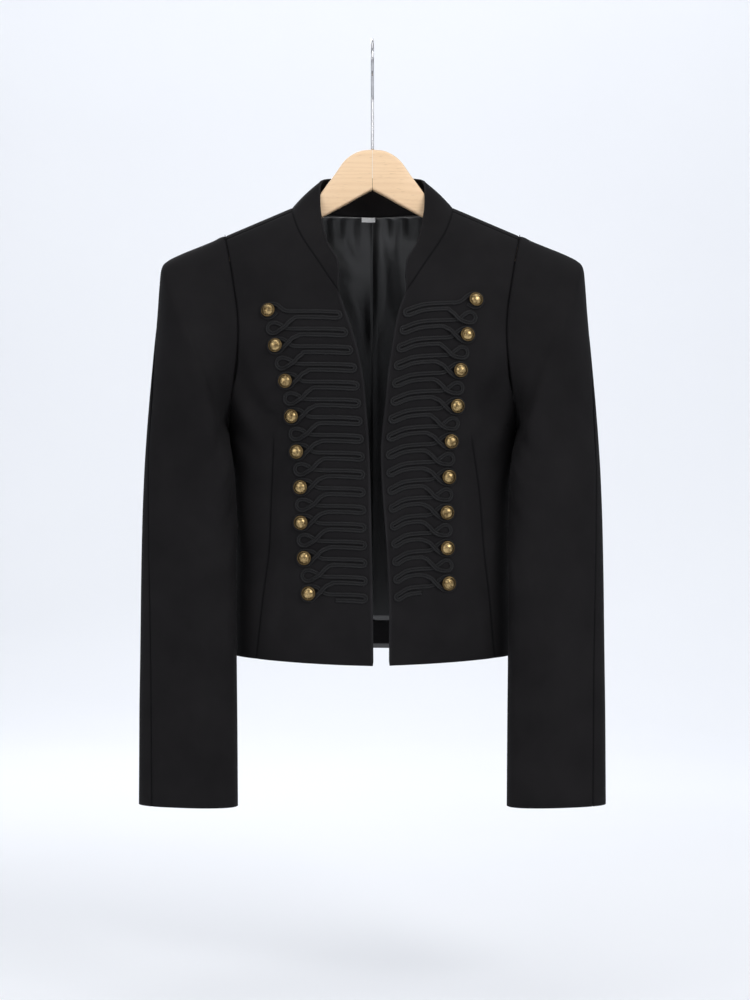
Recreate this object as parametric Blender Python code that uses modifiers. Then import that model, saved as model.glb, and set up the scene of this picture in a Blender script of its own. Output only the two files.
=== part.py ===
"""A cropped military blazer hanging open on a wooden hanger.

Metres, +Z up, the front faces -Y and the wearer's left is +X. The origin is the
inner top of the hanger's hook, where it rests on a rail. Sizes below are in
millimetres, and a level is a distance down from the origin.
"""

import math

import bpy
import numpy as np
from mathutils import Matrix, Vector

MM = 0.001
FRONT, BACK = -1, 1

# Cloth
BODY_CLOTH = 1.6
SLEEVE_CLOTH = 1.6
COLLAR_CLOTH = 2.2
LINING_CLOTH = 0.8
LINING_CLEAR = 2.2
SEAM_GAP = 0.3
# Each panel's edge is drawn in by this much, so that turned rims stay apart
HALF_GAP = 0.35

# Shoulder line, which falls from the neck point to the sleeve head
NECK_HALF = 88.0
NECK_LEVEL = 183.0
SHOULDER_FALL = 0.425
SHOULDER_ROUNDING = 200.0
ROUNDING_POWER = 1.8
GIRTH_POWER = 2.4

# Body girth: level, half width, depth to the front, depth to the back
BODY = (
    (183, 250, 80, 72),
    (250, 232, 81, 74),
    (330, 205, 83, 76),
    (380, 172, 84, 76),
    (425, 158, 84, 75),
    (446, 152, 83, 74),
    (500, 150, 82, 73),
    (560, 149, 80, 72),
    (620, 150, 79, 72),
    (690, 151, 79, 73),
)
FRONT_HEM, BACK_HEM, SIDE_HEM = 681.0, 671.0, 673.0
UNDERARM_LEVEL = 425.0

# Armhole: level, distance from the centre line
ARMHOLE = (
    (214, 161.5),
    (221, 160.3),
    (242, 155.5),
    (276, 149.5),
    (298, 146.0),
    (320, 144.5),
    (345, 145.5),
    (385, 151.0),
    (410, 156.0),
    (425, 158.0),
)
# Level at which the armhole crosses the shoulder line
ARMHOLE_TOP = 214.24
# Turns round the armhole, in degrees from its crest, where a row of cloth ends
ARM_TURNS = (0, 18, 26, 33, 41, 48, 60, 73, 87, 103, 119, 135, 151, 166, 180)
# The back's rows down to this one end at the neck seam, and so do the front's down to its corner
BACK_NECK_ROW = 5
NECK_CORNER_ROW = 8
ROWS_BELOW_ARM = 9
FRONT_COLUMNS = 10
BACK_COLUMNS = 9

# Neck seam: level, distance from the centre line on the front
FRONT_NECK = ((183, 88.0), (193, 86.5), (217, 77.0), (252, 54.5), (280, 36.5))
# Neck seam on the back: distance from the centre line, level
BACK_NECK = ((0, 188.7), (45, 187.0), (75, 184.5), (88, 183.0))

# Front edges: level, x of the wearer's right edge, x of the wearer's left edge
FRONT_EDGES = (
    (280, -36.5, 36.5),
    (302, -29.0, 28.5),
    (336, -18.0, 22.0),
    (370, -10.5, 17.0),
    (398, -7.5, 14.5),
    (455, -3.5, 9.5),
    (555, -1.0, 15.5),
    (611, 0.0, 18.3),
    (681, 0.7, 18.3),
)

# Collar top edge: share of the neck seam from the front, x, y, level
COLLAR_TOP = (
    (0.00, 35.6, -66.0, 251.5),
    (0.05, 38.5, -61.0, 243.0),
    (0.15, 49.0, -46.0, 224.0),
    (0.36, 56.0, -18.0, 190.0),
    (0.50, 57.5, -4.0, 162.0),
    (0.57, 56.5, 6.0, 152.5),
    (0.66, 47.5, 19.0, 148.5),
    (0.80, 30.0, 31.0, 146.5),
    (1.00, 0.0, 38.0, 146.0),
)
COLLAR_HEIGHTS = 3
COLLAR_SEAM_GAP = 0.5

# Sleeve sections: outer x, y, level, inner x, y, level, half depth,
# hind seam's turn from the outer point towards the front, and the share of the armhole's form
SLEEVE = (
    (161.5, 0, 214.2, 158.4, 0, 425, 52, -70, 1.00),
    (186.0, 0, 224.6, 161.5, -6, 428, 55, -66, 0.72),
    (209.0, 0, 234.4, 161.0, -16, 432, 55, -54, 0.46),
    (224.0, 0, 242.5, 159.0, -27, 437, 53, -38, 0.26),
    (230.5, -1, 251.0, 156.0, -37, 443, 51, -22, 0.12),
    (232.5, -3, 270.0, 153.0, -45, 451, 48, -8, 0.04),
    (234.5, -6, 305.0, 151.0, -51, 461, 45, 8, 0.00),
    (238.0, -11, 350.0, 149.0, -56, 474, 41, 22, 0.00),
    (242.0, -17, 405.0, 148.5, -59, 491, 37, 34, 0.00),
    (245.5, -22, 465.0, 148.2, -61, 515, 34, 42, 0.00),
    (248.0, -25, 530.0, 148.0, -63, 555, 31, 48, 0.00),
    (249.5, -26, 600.0, 147.8, -64, 612, 29, 52, 0.00),
    (250.5, -26, 670.0, 147.3, -64, 676, 28, 55, 0.00),
    (251.5, -26, 740.0, 146.6, -64, 743, 28, 57, 0.00),
    (252.3, -26, 837.0, 145.8, -64, 836, 27, 58, 0.00),
)
FORE_SEAM_TURN = 222.0
SLEEVE_POWER = 2.3
SLEEVE_SPREAD_ROWS = 6
# Turns of the armhole at which the hind and the fore seam leave it
HIND_SEAM_START, FORE_SEAM_START = 290, 210

# Buttons: level of the first and the last, and each one's distance from the centre line
BUTTONS = {
    "right": (301.5, 604.0, (111, 103, 92, 85.5, 80, 76, 75.5, 72, 67.5)),
    "left": (290.0, 593.5, (110.5, 101, 93.5, 90, 83.5, 81, 79, 79.5, 81)),
}
BUTTON_SIDES = 8
# Button turned from this profile: radius, height over the cloth
BUTTON_PROFILE = (
    (0, 9.2),
    (3.6, 8.5),
    (6.2, 6.6),
    (7.5, 4.2),
    (7.2, 3.4),
    (2.4, 3.3),
    (2.4, 0.4),
    (0, 0.4),
)

# Soutache braid
BRAID_WIDTH = 4.8
BRAID_TOP_WIDTH = 4.0
BRAID_THICK = 1.2
BRAID_GAP = 0.45
BRAID_LIFT = 1.7
ROWS_OF_BRAID = 17
LEG_APART = 3.2
EDGE_MARGIN = 6.4
# Level of a hairpin below its button, at the button column and at the front edge
HAIRPIN_DROP = {"right": (4.3, 5.6), "left": (6.5, 14.5)}
# A hairpin's legs: shares of their length, and the power by which they sag to the front edge
LEG_SHARES, LEG_SAG = (0, 0.6, 1), 2.6
# They start this far inboard of the crossing
LEG_START = 15.0
# The strand from a lower leg: distance inboard of the crossing, drop below the leg
LEG_BEND, LEG_DROP = 9.5, 1.6
# Loops round a button and between two: radius, distance of the middle and of the crossing
# inboard of the column, rise of the crossing over the upper leg
BUTTON_LOOP = (7.7, 0.0, 13.4, 3.5)
SMALL_LOOP = (5.9, 2.5, 14.5, 1.5)
LOOP_TURNS = (115, 60, 5, -50, -105)
# Strands beside the crossing, as distance inboard and level below it: the strand that comes
# in, before and after, then the one that leaves, before and after
BUTTON_STRANDS = ((4.5, -5.0), (-4.5, 4.2), (-4.5, -4.0), (5.5, 3.0))
SMALL_STRANDS = ((4.5, -5.2), (-4.5, 2.6), (-4.5, -3.2), (5.5, 1.2))

# Hanger: distance from the centre, level of the top, level of the bottom, half thickness
HANGER = (
    (0.15, 119.4, 163.4, 7.0),
    (15, 121.5, 171.5, 7.0),
    (30, 131.0, 180.0, 7.0),
    (42, 147.5, 186.5, 6.5),
    (50, 158.0, 191.0, 6.0),
    (60, 171.0, 196.0, 6.0),
    (75, 181.5, 204.0, 6.0),
    (90, 192.0, 212.0, 6.0),
    (125, 203.6, 228.0, 6.0),
    (160, 218.4, 243.0, 6.0),
    (192, 232.2, 256.0, 6.0),
    (202, 238.0, 253.0, 4.5),
)
# Chamfer of the wood's edges, and the flat it leaves at least
HANGER_EDGE, HANGER_FLAT = 3.0, 1.5
WIRE_DIAMETER = 3.4
HOOK_INNER_RADIUS = 20.0
# The wire's straight stem and its bend towards the wearer's front: y, level
HOOK_STEM = ((0, HANGER[0][1] - SEAM_GAP), (0, 74.0), (0, 62.0), (-3.5, 52.0))

# Back lining: levels of its top and hem, and how far it stays from the side and the crest
LINING_TOP, LINING_HEM, FACING_HEM = 192.5, 640.0, 666.0
LINING_SIDE, LINING_BELOW_CREST = 15.0, 16.0
LINING_ROWS, FACING_ROWS = 12, 2
LINING_COLUMNS = 12

# Label at the back neck
LABEL_WIDTH, LABEL_HEIGHT, LABEL_THICK, LABEL_CLEAR = 15.0, 5.0, 0.8, 1.2
LABEL_X = -4.5


def smooth(t, rows, column):
    """Value at t on a smooth curve through one column of a table, whose first column is t."""
    knots = [row[0] for row in rows]
    values = [row[column] for row in rows]
    t = min(max(t, knots[0]), knots[-1])
    i = min(int(np.searchsorted(knots, t, side="right")) - 1, len(knots) - 2)
    slopes = [
        (values[min(k + 1, len(knots) - 1)] - values[max(k - 1, 0)])
        / (knots[min(k + 1, len(knots) - 1)] - knots[max(k - 1, 0)])
        for k in (i, i + 1)
    ]
    step = knots[i + 1] - knots[i]
    f = (t - knots[i]) / step
    return (
        (2 * f**3 - 3 * f**2 + 1) * values[i]
        + (f**3 - 2 * f**2 + f) * step * slopes[0]
        + (3 * f**2 - 2 * f**3) * values[i + 1]
        + (f**3 - f**2) * step * slopes[1]
    )


def crest_level(x):
    """Level of the shoulder line, which runs on level to the centre inside the neck."""
    return NECK_LEVEL + SHOULDER_FALL * (abs(x) - NECK_HALF)


def hem_level(side, x):
    centre = FRONT_HEM if side == FRONT else BACK_HEM
    return centre + (SIDE_HEM - centre) * min(1, abs(x) / smooth(SIDE_HEM, BODY, 1)) ** 1.5


def on_body(side, x, level, inset=0.0):
    """Point of the body's outer surface in front or behind, or of one that lies inset mm inside it."""
    half = smooth(level, BODY, 1) - inset
    deep = smooth(level, BODY, 2 if side == FRONT else 3) - inset
    across = (1 - min(1, abs(x) / half) ** GIRTH_POWER) ** (1 / GIRTH_POWER)
    fall = min(1, max(0, level - inset - crest_level(x)) / SHOULDER_ROUNDING)
    over = (1 - (1 - fall) ** ROUNDING_POWER) ** (1 / ROUNDING_POWER)
    return Vector((x, side * deep * across * over, -level))


def row_level(side, row, x):
    """Level at x of a row of cloth, 0 along the shoulder line and 1 along the hem."""
    return (1 - row) * crest_level(x) + row * hem_level(side, x)


def armhole_x(level):
    return smooth(level, ARMHOLE, 1) if level < UNDERARM_LEVEL else smooth(level, BODY, 1)


def armhole_level(turn):
    share = (1 - math.cos(math.radians(turn))) / 2
    return ARMHOLE_TOP + (UNDERARM_LEVEL - ARMHOLE_TOP) * share


def settle(side, row, edge):
    """Where a row meets an edge that is given as x for each level."""
    x = edge(300.0)
    for _ in range(40):
        x = edge(row_level(side, row, x))
    return x


def body_rows():
    """Rows of cloth that end at the named turns of the armhole, then even ones to the hem."""
    rows = []
    for turn in ARM_TURNS:
        level = armhole_level(turn)
        x = armhole_x(level)
        rows.append(max(0, (level - crest_level(x)) / (hem_level(FRONT, x) - crest_level(x))))
    last = rows[-1]
    return rows + [last + (1 - last) * k / ROWS_BELOW_ARM for k in range(1, ROWS_BELOW_ARM + 1)]


ROWS = body_rows()


def back_neck_x(row):
    """Where a row of the back meets the neck seam, or 0 once it has reached the centre line."""
    low, high = 0.0, NECK_HALF
    if row_level(BACK, row, 0) >= BACK_NECK[0][1] - 0.5:
        return 0.0
    for _ in range(40):
        middle = (low + high) / 2
        if row_level(BACK, row, middle) > smooth(middle, BACK_NECK, 1):
            high = middle
        else:
            low = middle
    return high


def front_inner_x(wearer, index):
    """The neck seam's x for a row above the corner, and the front edge's below it."""
    if index <= NECK_CORNER_ROW:
        return settle(FRONT, ROWS[index], lambda level: smooth(level, FRONT_NECK, 1))
    column = 1 if wearer == "right" else 2
    sign = -1 if wearer == "right" else 1
    return sign * settle(FRONT, ROWS[index], lambda level: smooth(level, FRONT_EDGES, column))


def row_points(side, row, inner, outer, columns, flip):
    """Points along one row, closer together towards the side."""
    points = []
    for k in range(columns + 1):
        x = inner + (outer - inner) * math.sin(math.pi / 2 * k / columns)
        point = on_body(side, x, row_level(side, row, x))
        points.append(Vector((flip * point.x, point.y, point.z)))
    return points


def front_grid(wearer):
    flip = -1 if wearer == "right" else 1
    grid = []
    for index in range(1, len(ROWS)):
        inner = front_inner_x(wearer, index)
        outer = settle(FRONT, ROWS[index], armhole_x)
        grid.append(row_points(FRONT, ROWS[index], inner, outer, FRONT_COLUMNS, flip))
    return grid


def back_grid(wearer):
    """From the seam in front of the shoulder, over its crest and down to the hem."""
    flip = -1 if wearer == "right" else 1
    over_neck = front_inner_x(wearer, 1)
    grid = [row_points(FRONT, ROWS[1], over_neck, settle(FRONT, ROWS[1], armhole_x), BACK_COLUMNS, flip)]
    for row in ROWS:
        outer = settle(BACK, row, armhole_x)
        grid.append(row_points(BACK, row, back_neck_x(row), outer, BACK_COLUMNS, flip))
    return grid


def pull_edges(grid, first_row=0.0, last_row=0.0, first_column=0.0, last_column=0.0):
    """Draws the named edges of a grid in by a few tenths of a millimetre, along the cloth."""
    rows = [list(row) for row in grid]

    def drawn(edge, inner, distance):
        return edge + (inner - edge).normalized() * distance

    for row in rows:
        row[0], row[-1] = drawn(row[0], row[1], first_column), drawn(row[-1], row[-2], last_column)
    rows[0] = [drawn(a, b, first_row) for a, b in zip(rows[0], rows[1])]
    rows[-1] = [drawn(a, b, last_row) for a, b in zip(rows[-1], rows[-2])]
    return rows


def material(name, colour, roughness, metallic=0.0):
    made = bpy.data.materials.new(name)
    made.use_nodes = True
    shader = made.node_tree.nodes["Principled BSDF"]
    shader.inputs["Base Color"].default_value = (*colour, 1)
    shader.inputs["Roughness"].default_value = roughness
    shader.inputs["Metallic"].default_value = metallic
    return made


def add(name, vertices, faces, finish):
    """A mesh object whose points are given in millimetres."""
    mesh = bpy.data.meshes.new(name)
    mesh.from_pydata([tuple(Vector(v) * MM) for v in vertices], [], faces)
    mesh.materials.append(finish)
    obj = bpy.data.objects.new(name, mesh)
    blazer.objects.link(obj)
    return obj


def shell(name, grid, thickness, finish, turned=False):
    """Cloth: an open sheet through the grid's points, thickened inwards."""
    columns = len(grid[0])
    vertices = [point for row in grid for point in row]
    faces = []
    for i in range(len(grid) - 1):
        for k in range(columns - 1):
            a = i * columns + k
            face = (a, a + columns, a + columns + 1, a + 1)
            faces.append(face[::-1] if turned else face)
    obj = add(name, vertices, faces, finish)
    wall = obj.modifiers.new("wall", "SOLIDIFY")
    wall.thickness = thickness * MM
    wall.offset = -1
    obj.data.shade_smooth()
    return obj


def wall(name, outer, inner, finish, turned=False):
    """Cloth between an outer and an inner sheet, closed round its edges."""
    rows, columns = len(outer), len(outer[0])
    count = rows * columns
    vertices = [point for grid in (outer, inner) for row in grid for point in row]
    faces = []
    for i in range(rows - 1):
        for k in range(columns - 1):
            a = i * columns + k
            faces.append((a, a + columns, a + columns + 1, a + 1))
            faces.append((count + a, count + a + 1, count + a + columns + 1, count + a + columns))
    top = list(range(columns))
    right = [i * columns + columns - 1 for i in range(1, rows)]
    bottom = [(rows - 1) * columns + k for k in range(columns - 2, -1, -1)]
    left = [i * columns for i in range(rows - 2, 0, -1)]
    rim = top + right + bottom + left
    for a, b in zip(rim, rim[1:] + rim[:1]):
        faces.append((a, b, count + b, count + a))
    if turned:
        faces = [face[::-1] for face in faces]
    obj = add(name, vertices, faces, finish)
    obj.data.shade_smooth()
    return obj


def make_body():
    for wearer in ("right", "left"):
        front = pull_edges(front_grid(wearer), HALF_GAP, 0, HALF_GAP, HALF_GAP)
        shell(f"front_{wearer}", front, BODY_CLOTH, cloth, wearer == "right")
        back = pull_edges(back_grid(wearer), HALF_GAP, 0, HALF_GAP, HALF_GAP)
        shell(f"back_{wearer}", back, BODY_CLOTH, cloth, wearer == "left")


def armhole_point(turn):
    """Point of the armhole seam on the wearer's left: 0 at the crest, 180 at the underarm."""
    side = FRONT if turn <= 180 else BACK
    level = armhole_level(turn)
    return on_body(side, armhole_x(level), level)


def superellipse(turn):
    c, s = math.cos(math.radians(turn)), math.sin(math.radians(turn))
    power = 2 / SLEEVE_POWER
    return math.copysign(abs(c) ** power, c), math.copysign(abs(s) ** power, s)


def oval_point(section, turn, inset=0.0):
    """Point of a sleeve section: 0 at its outer end, 90 in front, 180 at its inner end."""
    outer = Vector((section[0], section[1], -section[2]))
    inner = Vector((section[3], section[4], -section[5]))
    middle, half = (outer + inner) / 2, (outer - inner) / 2
    direction = half.normalized()
    ahead = Vector((0, -1, 0))
    ahead = (ahead - direction * ahead.dot(direction)).normalized()
    along, across = superellipse(turn)
    return middle + direction * (half.length - inset) * along + ahead * (section[6] - inset) * across


def sleeve_point(section, turn, inset):
    share = section[8]
    point = oval_point(section, turn, inset)
    if share > 0:
        point += (armhole_point(turn % 360) - oval_point(SLEEVE[0], turn)) * share
    return point


def sleeve_grid(panel, first_turns, flip, inset):
    """One sleeve panel, whose top row meets the armhole's own points."""
    grid = []
    for index, section in enumerate(SLEEVE):
        spread = min(1, index / SLEEVE_SPREAD_ROWS)
        hind = section[7]
        ends = (hind, FORE_SEAM_TURN) if panel == "upper" else (FORE_SEAM_TURN, hind + 360)
        count = len(first_turns) - 1
        row = []
        for k, top_turn in enumerate(first_turns):
            even = ends[0] + (ends[1] - ends[0]) * k / count
            point = sleeve_point(section, top_turn + (even - top_turn) * spread, inset)
            row.append(Vector((flip * point.x, point.y, point.z)))
        grid.append(row)
    return grid


def ring_turns():
    """Turns round the whole armhole at which a row of the body ends, from behind the crest onward."""
    front = [turn for turn in ARM_TURNS if turn > 0]
    back = [360 - turn for turn in ARM_TURNS if turn > 0]
    return sorted(set(front + back + [0, 360]))


def make_sleeves():
    turns = ring_turns()
    behind_crest = {t - 360 for t in turns if HIND_SEAM_START <= t < 360}
    upper_turns = sorted(behind_crest | {t for t in turns if t <= FORE_SEAM_START})
    under_turns = [t for t in turns if upper_turns[-1] <= t <= 360 + upper_turns[0]]
    under_turns = sorted(under_turns + [(a + b) / 2 for a, b in zip(under_turns, under_turns[1:])])
    for wearer, flip in (("right", -1), ("left", 1)):
        for panel, first_turns in (("upper", upper_turns), ("under", under_turns)):
            sheets = []
            for inset in (0, SLEEVE_CLOTH):
                grid = sleeve_grid(panel, first_turns, flip, inset)
                sheets.append(pull_edges(grid, 2 * SEAM_GAP, 0, HALF_GAP, HALF_GAP))
            wall(f"{panel}_sleeve_{wearer}", *sheets, cloth, wearer == "left")


def neck_seam():
    """Points of the neck seam from the front corner on the wearer's left to the centre back."""
    points = []
    for index in range(NECK_CORNER_ROW, 0, -1):
        x = front_inner_x("left", index)
        points.append(on_body(FRONT, x, row_level(FRONT, ROWS[index], x)))
    for index in range(0, BACK_NECK_ROW + 1):
        x = back_neck_x(ROWS[index])
        points.append(on_body(BACK, x, row_level(BACK, ROWS[index], x)))
    return points


def make_collar():
    seam = neck_seam()
    steps = [0.0]
    for a, b in zip(seam, seam[1:]):
        steps.append(steps[-1] + (b - a).length)
    half = []
    for point, step in zip(seam, steps):
        share = step / steps[-1]
        x, y, level = (smooth(share, COLLAR_TOP, column) for column in (1, 2, 3))
        top = Vector((x, y, -level))
        low = point + (top - point).normalized() * COLLAR_SEAM_GAP
        half.append([low.lerp(top, k / COLLAR_HEIGHTS) for k in range(COLLAR_HEIGHTS + 1)])
    other = [[Vector((-p.x, p.y, p.z)) for p in column] for column in half[:-1]]
    shell("collar", half + other[::-1], COLLAR_CLOTH, cloth)


def lining_row(high, low, share_down):
    """One row across the lining or the hem below it, from side to side."""
    row = []
    for k in range(-LINING_COLUMNS // 2, LINING_COLUMNS // 2 + 1):
        share = math.sin(math.pi * k / LINING_COLUMNS)
        top = high
        for _ in range(30):
            x = share * (armhole_x(top + (low - top) * share_down) - LINING_SIDE)
            top = max(high, crest_level(x) + LINING_BELOW_CREST)
        level = top + (low - top) * share_down
        row.append(on_body(BACK, x, level, BODY_CLOTH + LINING_CLEAR))
    return row


def make_lining():
    """The satin back lining and the turned-up back hem below it, inside the back panels."""
    bands = (
        ("back_lining", LINING_TOP, LINING_HEM, LINING_ROWS, lining),
        ("back_hem_facing", LINING_HEM + SEAM_GAP, FACING_HEM, FACING_ROWS, cloth),
    )
    for name, high, low, rows, finish in bands:
        grid = [lining_row(high, low, i / rows) for i in range(rows + 1)]
        shell(name, grid, LINING_CLOTH, finish, turned=True)


def make_label():
    grid = []
    for i in range(3):
        level = LINING_TOP + LABEL_HEIGHT * i / 2
        xs = [LABEL_X + LABEL_WIDTH * (k / 2 - 0.5) for k in range(3)]
        inset = BODY_CLOTH + LINING_CLEAR + LINING_CLOTH + LABEL_CLEAR
        grid.append([on_body(BACK, x, level, inset) for x in xs])
    shell("label", grid, LABEL_THICK, label_white, turned=True)


def outward(x, level):
    """Outward direction of the front at x and level."""
    e = 0.5
    across = on_body(FRONT, x + e, level) - on_body(FRONT, x - e, level)
    down = on_body(FRONT, x, level + e) - on_body(FRONT, x, level - e)
    normal = across.cross(down).normalized()
    return normal if normal.y < 0 else -normal


def button_level(wearer, number):
    first, last, _ = BUTTONS[wearer]
    return first + (last - first) * number / (len(BUTTONS[wearer][2]) - 1)


def column_x(wearer, number):
    """Distance of the button column from the centre line, between buttons too."""
    rows = [(k, x) for k, x in enumerate(BUTTONS[wearer][2])]
    return smooth(number, rows, 1)


def make_buttons():
    profile = bpy.data.meshes.new("button_profile")
    vertices = [(r * MM, 0, h * MM) for r, h in BUTTON_PROFILE]
    profile.from_pydata(vertices, [(k, k + 1) for k in range(len(vertices) - 1)], [])
    profile.materials.append(brass)
    for wearer, flip in (("right", -1), ("left", 1)):
        for number in range(len(BUTTONS[wearer][2])):
            x, level = flip * column_x(wearer, number), button_level(wearer, number)
            obj = bpy.data.objects.new(f"button_{wearer}_{number + 1}", profile)
            blazer.objects.link(obj)
            turn = Vector((0, 0, 1)).rotation_difference(outward(x, level))
            obj.matrix_world = Matrix.Translation(on_body(FRONT, x, level) * MM) @ turn.to_matrix().to_4x4()
            spin = obj.modifiers.new("turned", "SCREW")
            spin.steps = spin.render_steps = BUTTON_SIDES
            spin.use_merge_vertices = True
            spin.merge_threshold = 0.00001


def braid_route(wearer):
    """The braid's route on one front: distance from the centre line, level, lift."""
    edge_column = 1 if wearer == "right" else 2
    sign = -1 if wearer == "right" else 1
    drop_column, drop_edge = HAIRPIN_DROP[wearer]
    pitch = (button_level(wearer, 1) - button_level(wearer, 0)) / 2
    route = []
    for row in range(ROWS_OF_BRAID):
        round_button = row % 2 == 0
        radius, inboard, crossing, rise = BUTTON_LOOP if round_button else SMALL_LOOP
        strands = BUTTON_STRANDS if round_button else SMALL_STRANDS
        column = column_x(wearer, row / 2)
        middle = button_level(wearer, 0) + pitch * row
        leg_level = middle + drop_column
        cross_x, cross_level = column - crossing, leg_level - LEG_APART - rise
        coming, past, leaving, away = [(cross_x - x, cross_level + down) for x, down in strands]
        if row:
            bend_level = leg_level - pitch + LEG_APART + LEG_DROP
            route.append((cross_x - LEG_BEND, bend_level, 0))
            route.append((*coming, BRAID_LIFT))
            route.append((cross_x, cross_level, BRAID_LIFT))
        route.append((*past, BRAID_LIFT if row else 0))
        for turn in LOOP_TURNS:
            c, s = math.cos(math.radians(turn)), math.sin(math.radians(turn))
            route.append((column - inboard + radius * c, middle + radius * s, 0))
        route += [(*leaving, 0), (cross_x, cross_level, 0), (*away, 0)]
        end_level = middle + drop_edge
        end_x = sign * smooth(end_level, FRONT_EDGES, edge_column) + EDGE_MARGIN
        leg_x, bend_x = cross_x - LEG_START, end_x + LEG_APART
        leg = []
        for share in LEG_SHARES:
            level = leg_level + (end_level - leg_level) * share**LEG_SAG
            leg.append((leg_x + (bend_x - leg_x) * share, level))
        route += [(x, level - LEG_APART, 0) for x, level in leg]
        for turn in (45, 90, 135):
            c, s = math.cos(math.radians(turn)), math.sin(math.radians(turn))
            route.append((bend_x - LEG_APART * s, end_level - LEG_APART * c, 0))
        route += [(x, level + LEG_APART, 0) for x, level in reversed(leg)]
    return route


def make_braid():
    for wearer, flip in (("right", -1), ("left", 1)):
        route = braid_route(wearer)
        middles = [on_body(FRONT, flip * x, level) for x, level, _ in route]
        vertices, faces = [], []
        for i, (x, level, lift) in enumerate(route):
            before = (middles[i] - middles[max(i - 1, 0)]).normalized()
            after = (middles[min(i + 1, len(route) - 1)] - middles[i]).normalized()
            along = (before + after).normalized()
            up = outward(flip * x, level)
            side = up.cross(along).normalized()
            mitre = 1 / max(0.8, along.dot(after if i == 0 else before))
            low, high = BRAID_WIDTH / 2, BRAID_TOP_WIDTH / 2
            for across, height in ((-low, 0), (low, 0), (high, BRAID_THICK), (-high, BRAID_THICK)):
                corner = middles[i] + side * across * mitre
                vertices.append(corner + up * (BRAID_GAP + lift + height))
        for i in range(len(route) - 1):
            for k in range(4):
                a, b = 4 * i + k, 4 * i + (k + 1) % 4
                faces.append((a, b, b + 4, a + 4))
        end = len(vertices) - 4
        faces += [(3, 2, 1, 0), (end, end + 1, end + 2, end + 3)]
        add(f"braid_{wearer}", vertices, faces, braid)


def make_hanger():
    """Two halves of wood, mitred at the middle, each a loft of chamfered sections."""
    for wearer, flip in (("right", -1), ("left", 1)):
        vertices, faces = [], []
        for x, top, bottom, half in HANGER:
            edge = min(HANGER_EDGE, half - HANGER_FLAT)
            outline = [
                (-half, -top - edge),
                (-half, -bottom + edge),
                (-half + edge, -bottom),
                (half - edge, -bottom),
                (half, -bottom + edge),
                (half, -top - edge),
                (half - edge, -top),
                (-half + edge, -top),
            ]
            vertices += [Vector((flip * x, y, z)) for y, z in outline]
        sides = 8
        for i in range(len(HANGER) - 1):
            for k in range(sides):
                a, b = sides * i + k, sides * i + (k + 1) % sides
                faces.append((a, b, b + sides, a + sides))
        end = len(vertices) - sides
        faces += [tuple(range(sides))[::-1], tuple(range(end, end + sides))]
        if flip < 0:
            faces = [face[::-1] for face in faces]
        add(f"hanger_{wearer}", vertices, faces, wood)


def make_hook():
    """Wire from the wood's crest, round the front of the rail and over it."""
    radius = HOOK_INNER_RADIUS + WIRE_DIAMETER / 2
    route = [(y, -level) for y, level in HOOK_STEM]
    for turn in range(150, -121, -15):
        angle = math.radians(turn)
        route.append((-radius * math.sin(angle), -HOOK_INNER_RADIUS + radius * math.cos(angle)))
    curve = bpy.data.curves.new("hook", "CURVE")
    curve.dimensions = "3D"
    curve.bevel_depth = WIRE_DIAMETER / 2 * MM
    curve.bevel_resolution = 2
    curve.use_fill_caps = True
    spline = curve.splines.new("POLY")
    spline.points.add(len(route) - 1)
    for point, (y, z) in zip(spline.points, route):
        point.co = (0, y * MM, z * MM, 1)
    curve.materials.append(steel)
    blazer.objects.link(bpy.data.objects.new("hook", curve))


for old in list(bpy.data.objects):
    bpy.data.objects.remove(old)
blazer = bpy.data.collections.new("military blazer on a hanger")
bpy.context.scene.collection.children.link(blazer)

cloth = material("black_suiting", (0.014, 0.014, 0.017), 0.75)
lining = material("black_satin", (0.01, 0.01, 0.013), 0.35)
braid = material("black_braid", (0.012, 0.012, 0.014), 0.6)
brass = material("antique_brass", (0.36, 0.25, 0.11), 0.35, 1.0)
wood = material("pale_wood", (0.8, 0.58, 0.38), 0.45)
steel = material("bright_steel", (0.62, 0.62, 0.64), 0.25, 1.0)
label_white = material("label_white", (0.75, 0.75, 0.74), 0.7)

make_body()
make_sleeves()
make_collar()
make_lining()
make_label()
make_buttons()
make_braid()
make_hanger()
make_hook()
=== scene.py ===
"""Looks of the military blazer on its hanger: cloth, braid, buttons, lining, wood and wire.

Sizes are in millimetres, as in the part's source, and turn into metres where a mesh is
made. A level is a distance down from the origin, which is the inner top of the hook.
"""

import math

import bpy
import numpy as np
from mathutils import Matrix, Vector


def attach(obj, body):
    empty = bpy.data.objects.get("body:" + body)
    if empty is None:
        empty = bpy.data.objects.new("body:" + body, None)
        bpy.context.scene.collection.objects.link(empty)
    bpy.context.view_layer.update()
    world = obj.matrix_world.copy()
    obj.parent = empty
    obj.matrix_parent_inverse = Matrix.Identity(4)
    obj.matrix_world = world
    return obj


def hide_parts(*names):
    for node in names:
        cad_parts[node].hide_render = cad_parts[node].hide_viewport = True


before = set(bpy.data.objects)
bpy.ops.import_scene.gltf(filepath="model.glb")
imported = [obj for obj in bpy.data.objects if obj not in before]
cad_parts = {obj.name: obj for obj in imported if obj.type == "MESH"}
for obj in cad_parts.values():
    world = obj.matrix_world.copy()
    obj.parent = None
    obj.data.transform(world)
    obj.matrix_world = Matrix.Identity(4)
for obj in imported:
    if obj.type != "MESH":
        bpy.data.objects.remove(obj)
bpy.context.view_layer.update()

MM = 0.001
FRONT, BACK = -1, 1

# Cloth
BODY_CLOTH = 1.6
SLEEVE_CLOTH = 1.6
COLLAR_CLOTH = 2.2
LINING_CLOTH = 0.5
LINING_CLEAR = 2.2
SEAM_GAP = 0.3
HALF_GAP = 0.08
# A seam's edge rolls in by this depth over this reach
SEAM_DEPTH, SEAM_REACH = 0.55, 1.3
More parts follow.
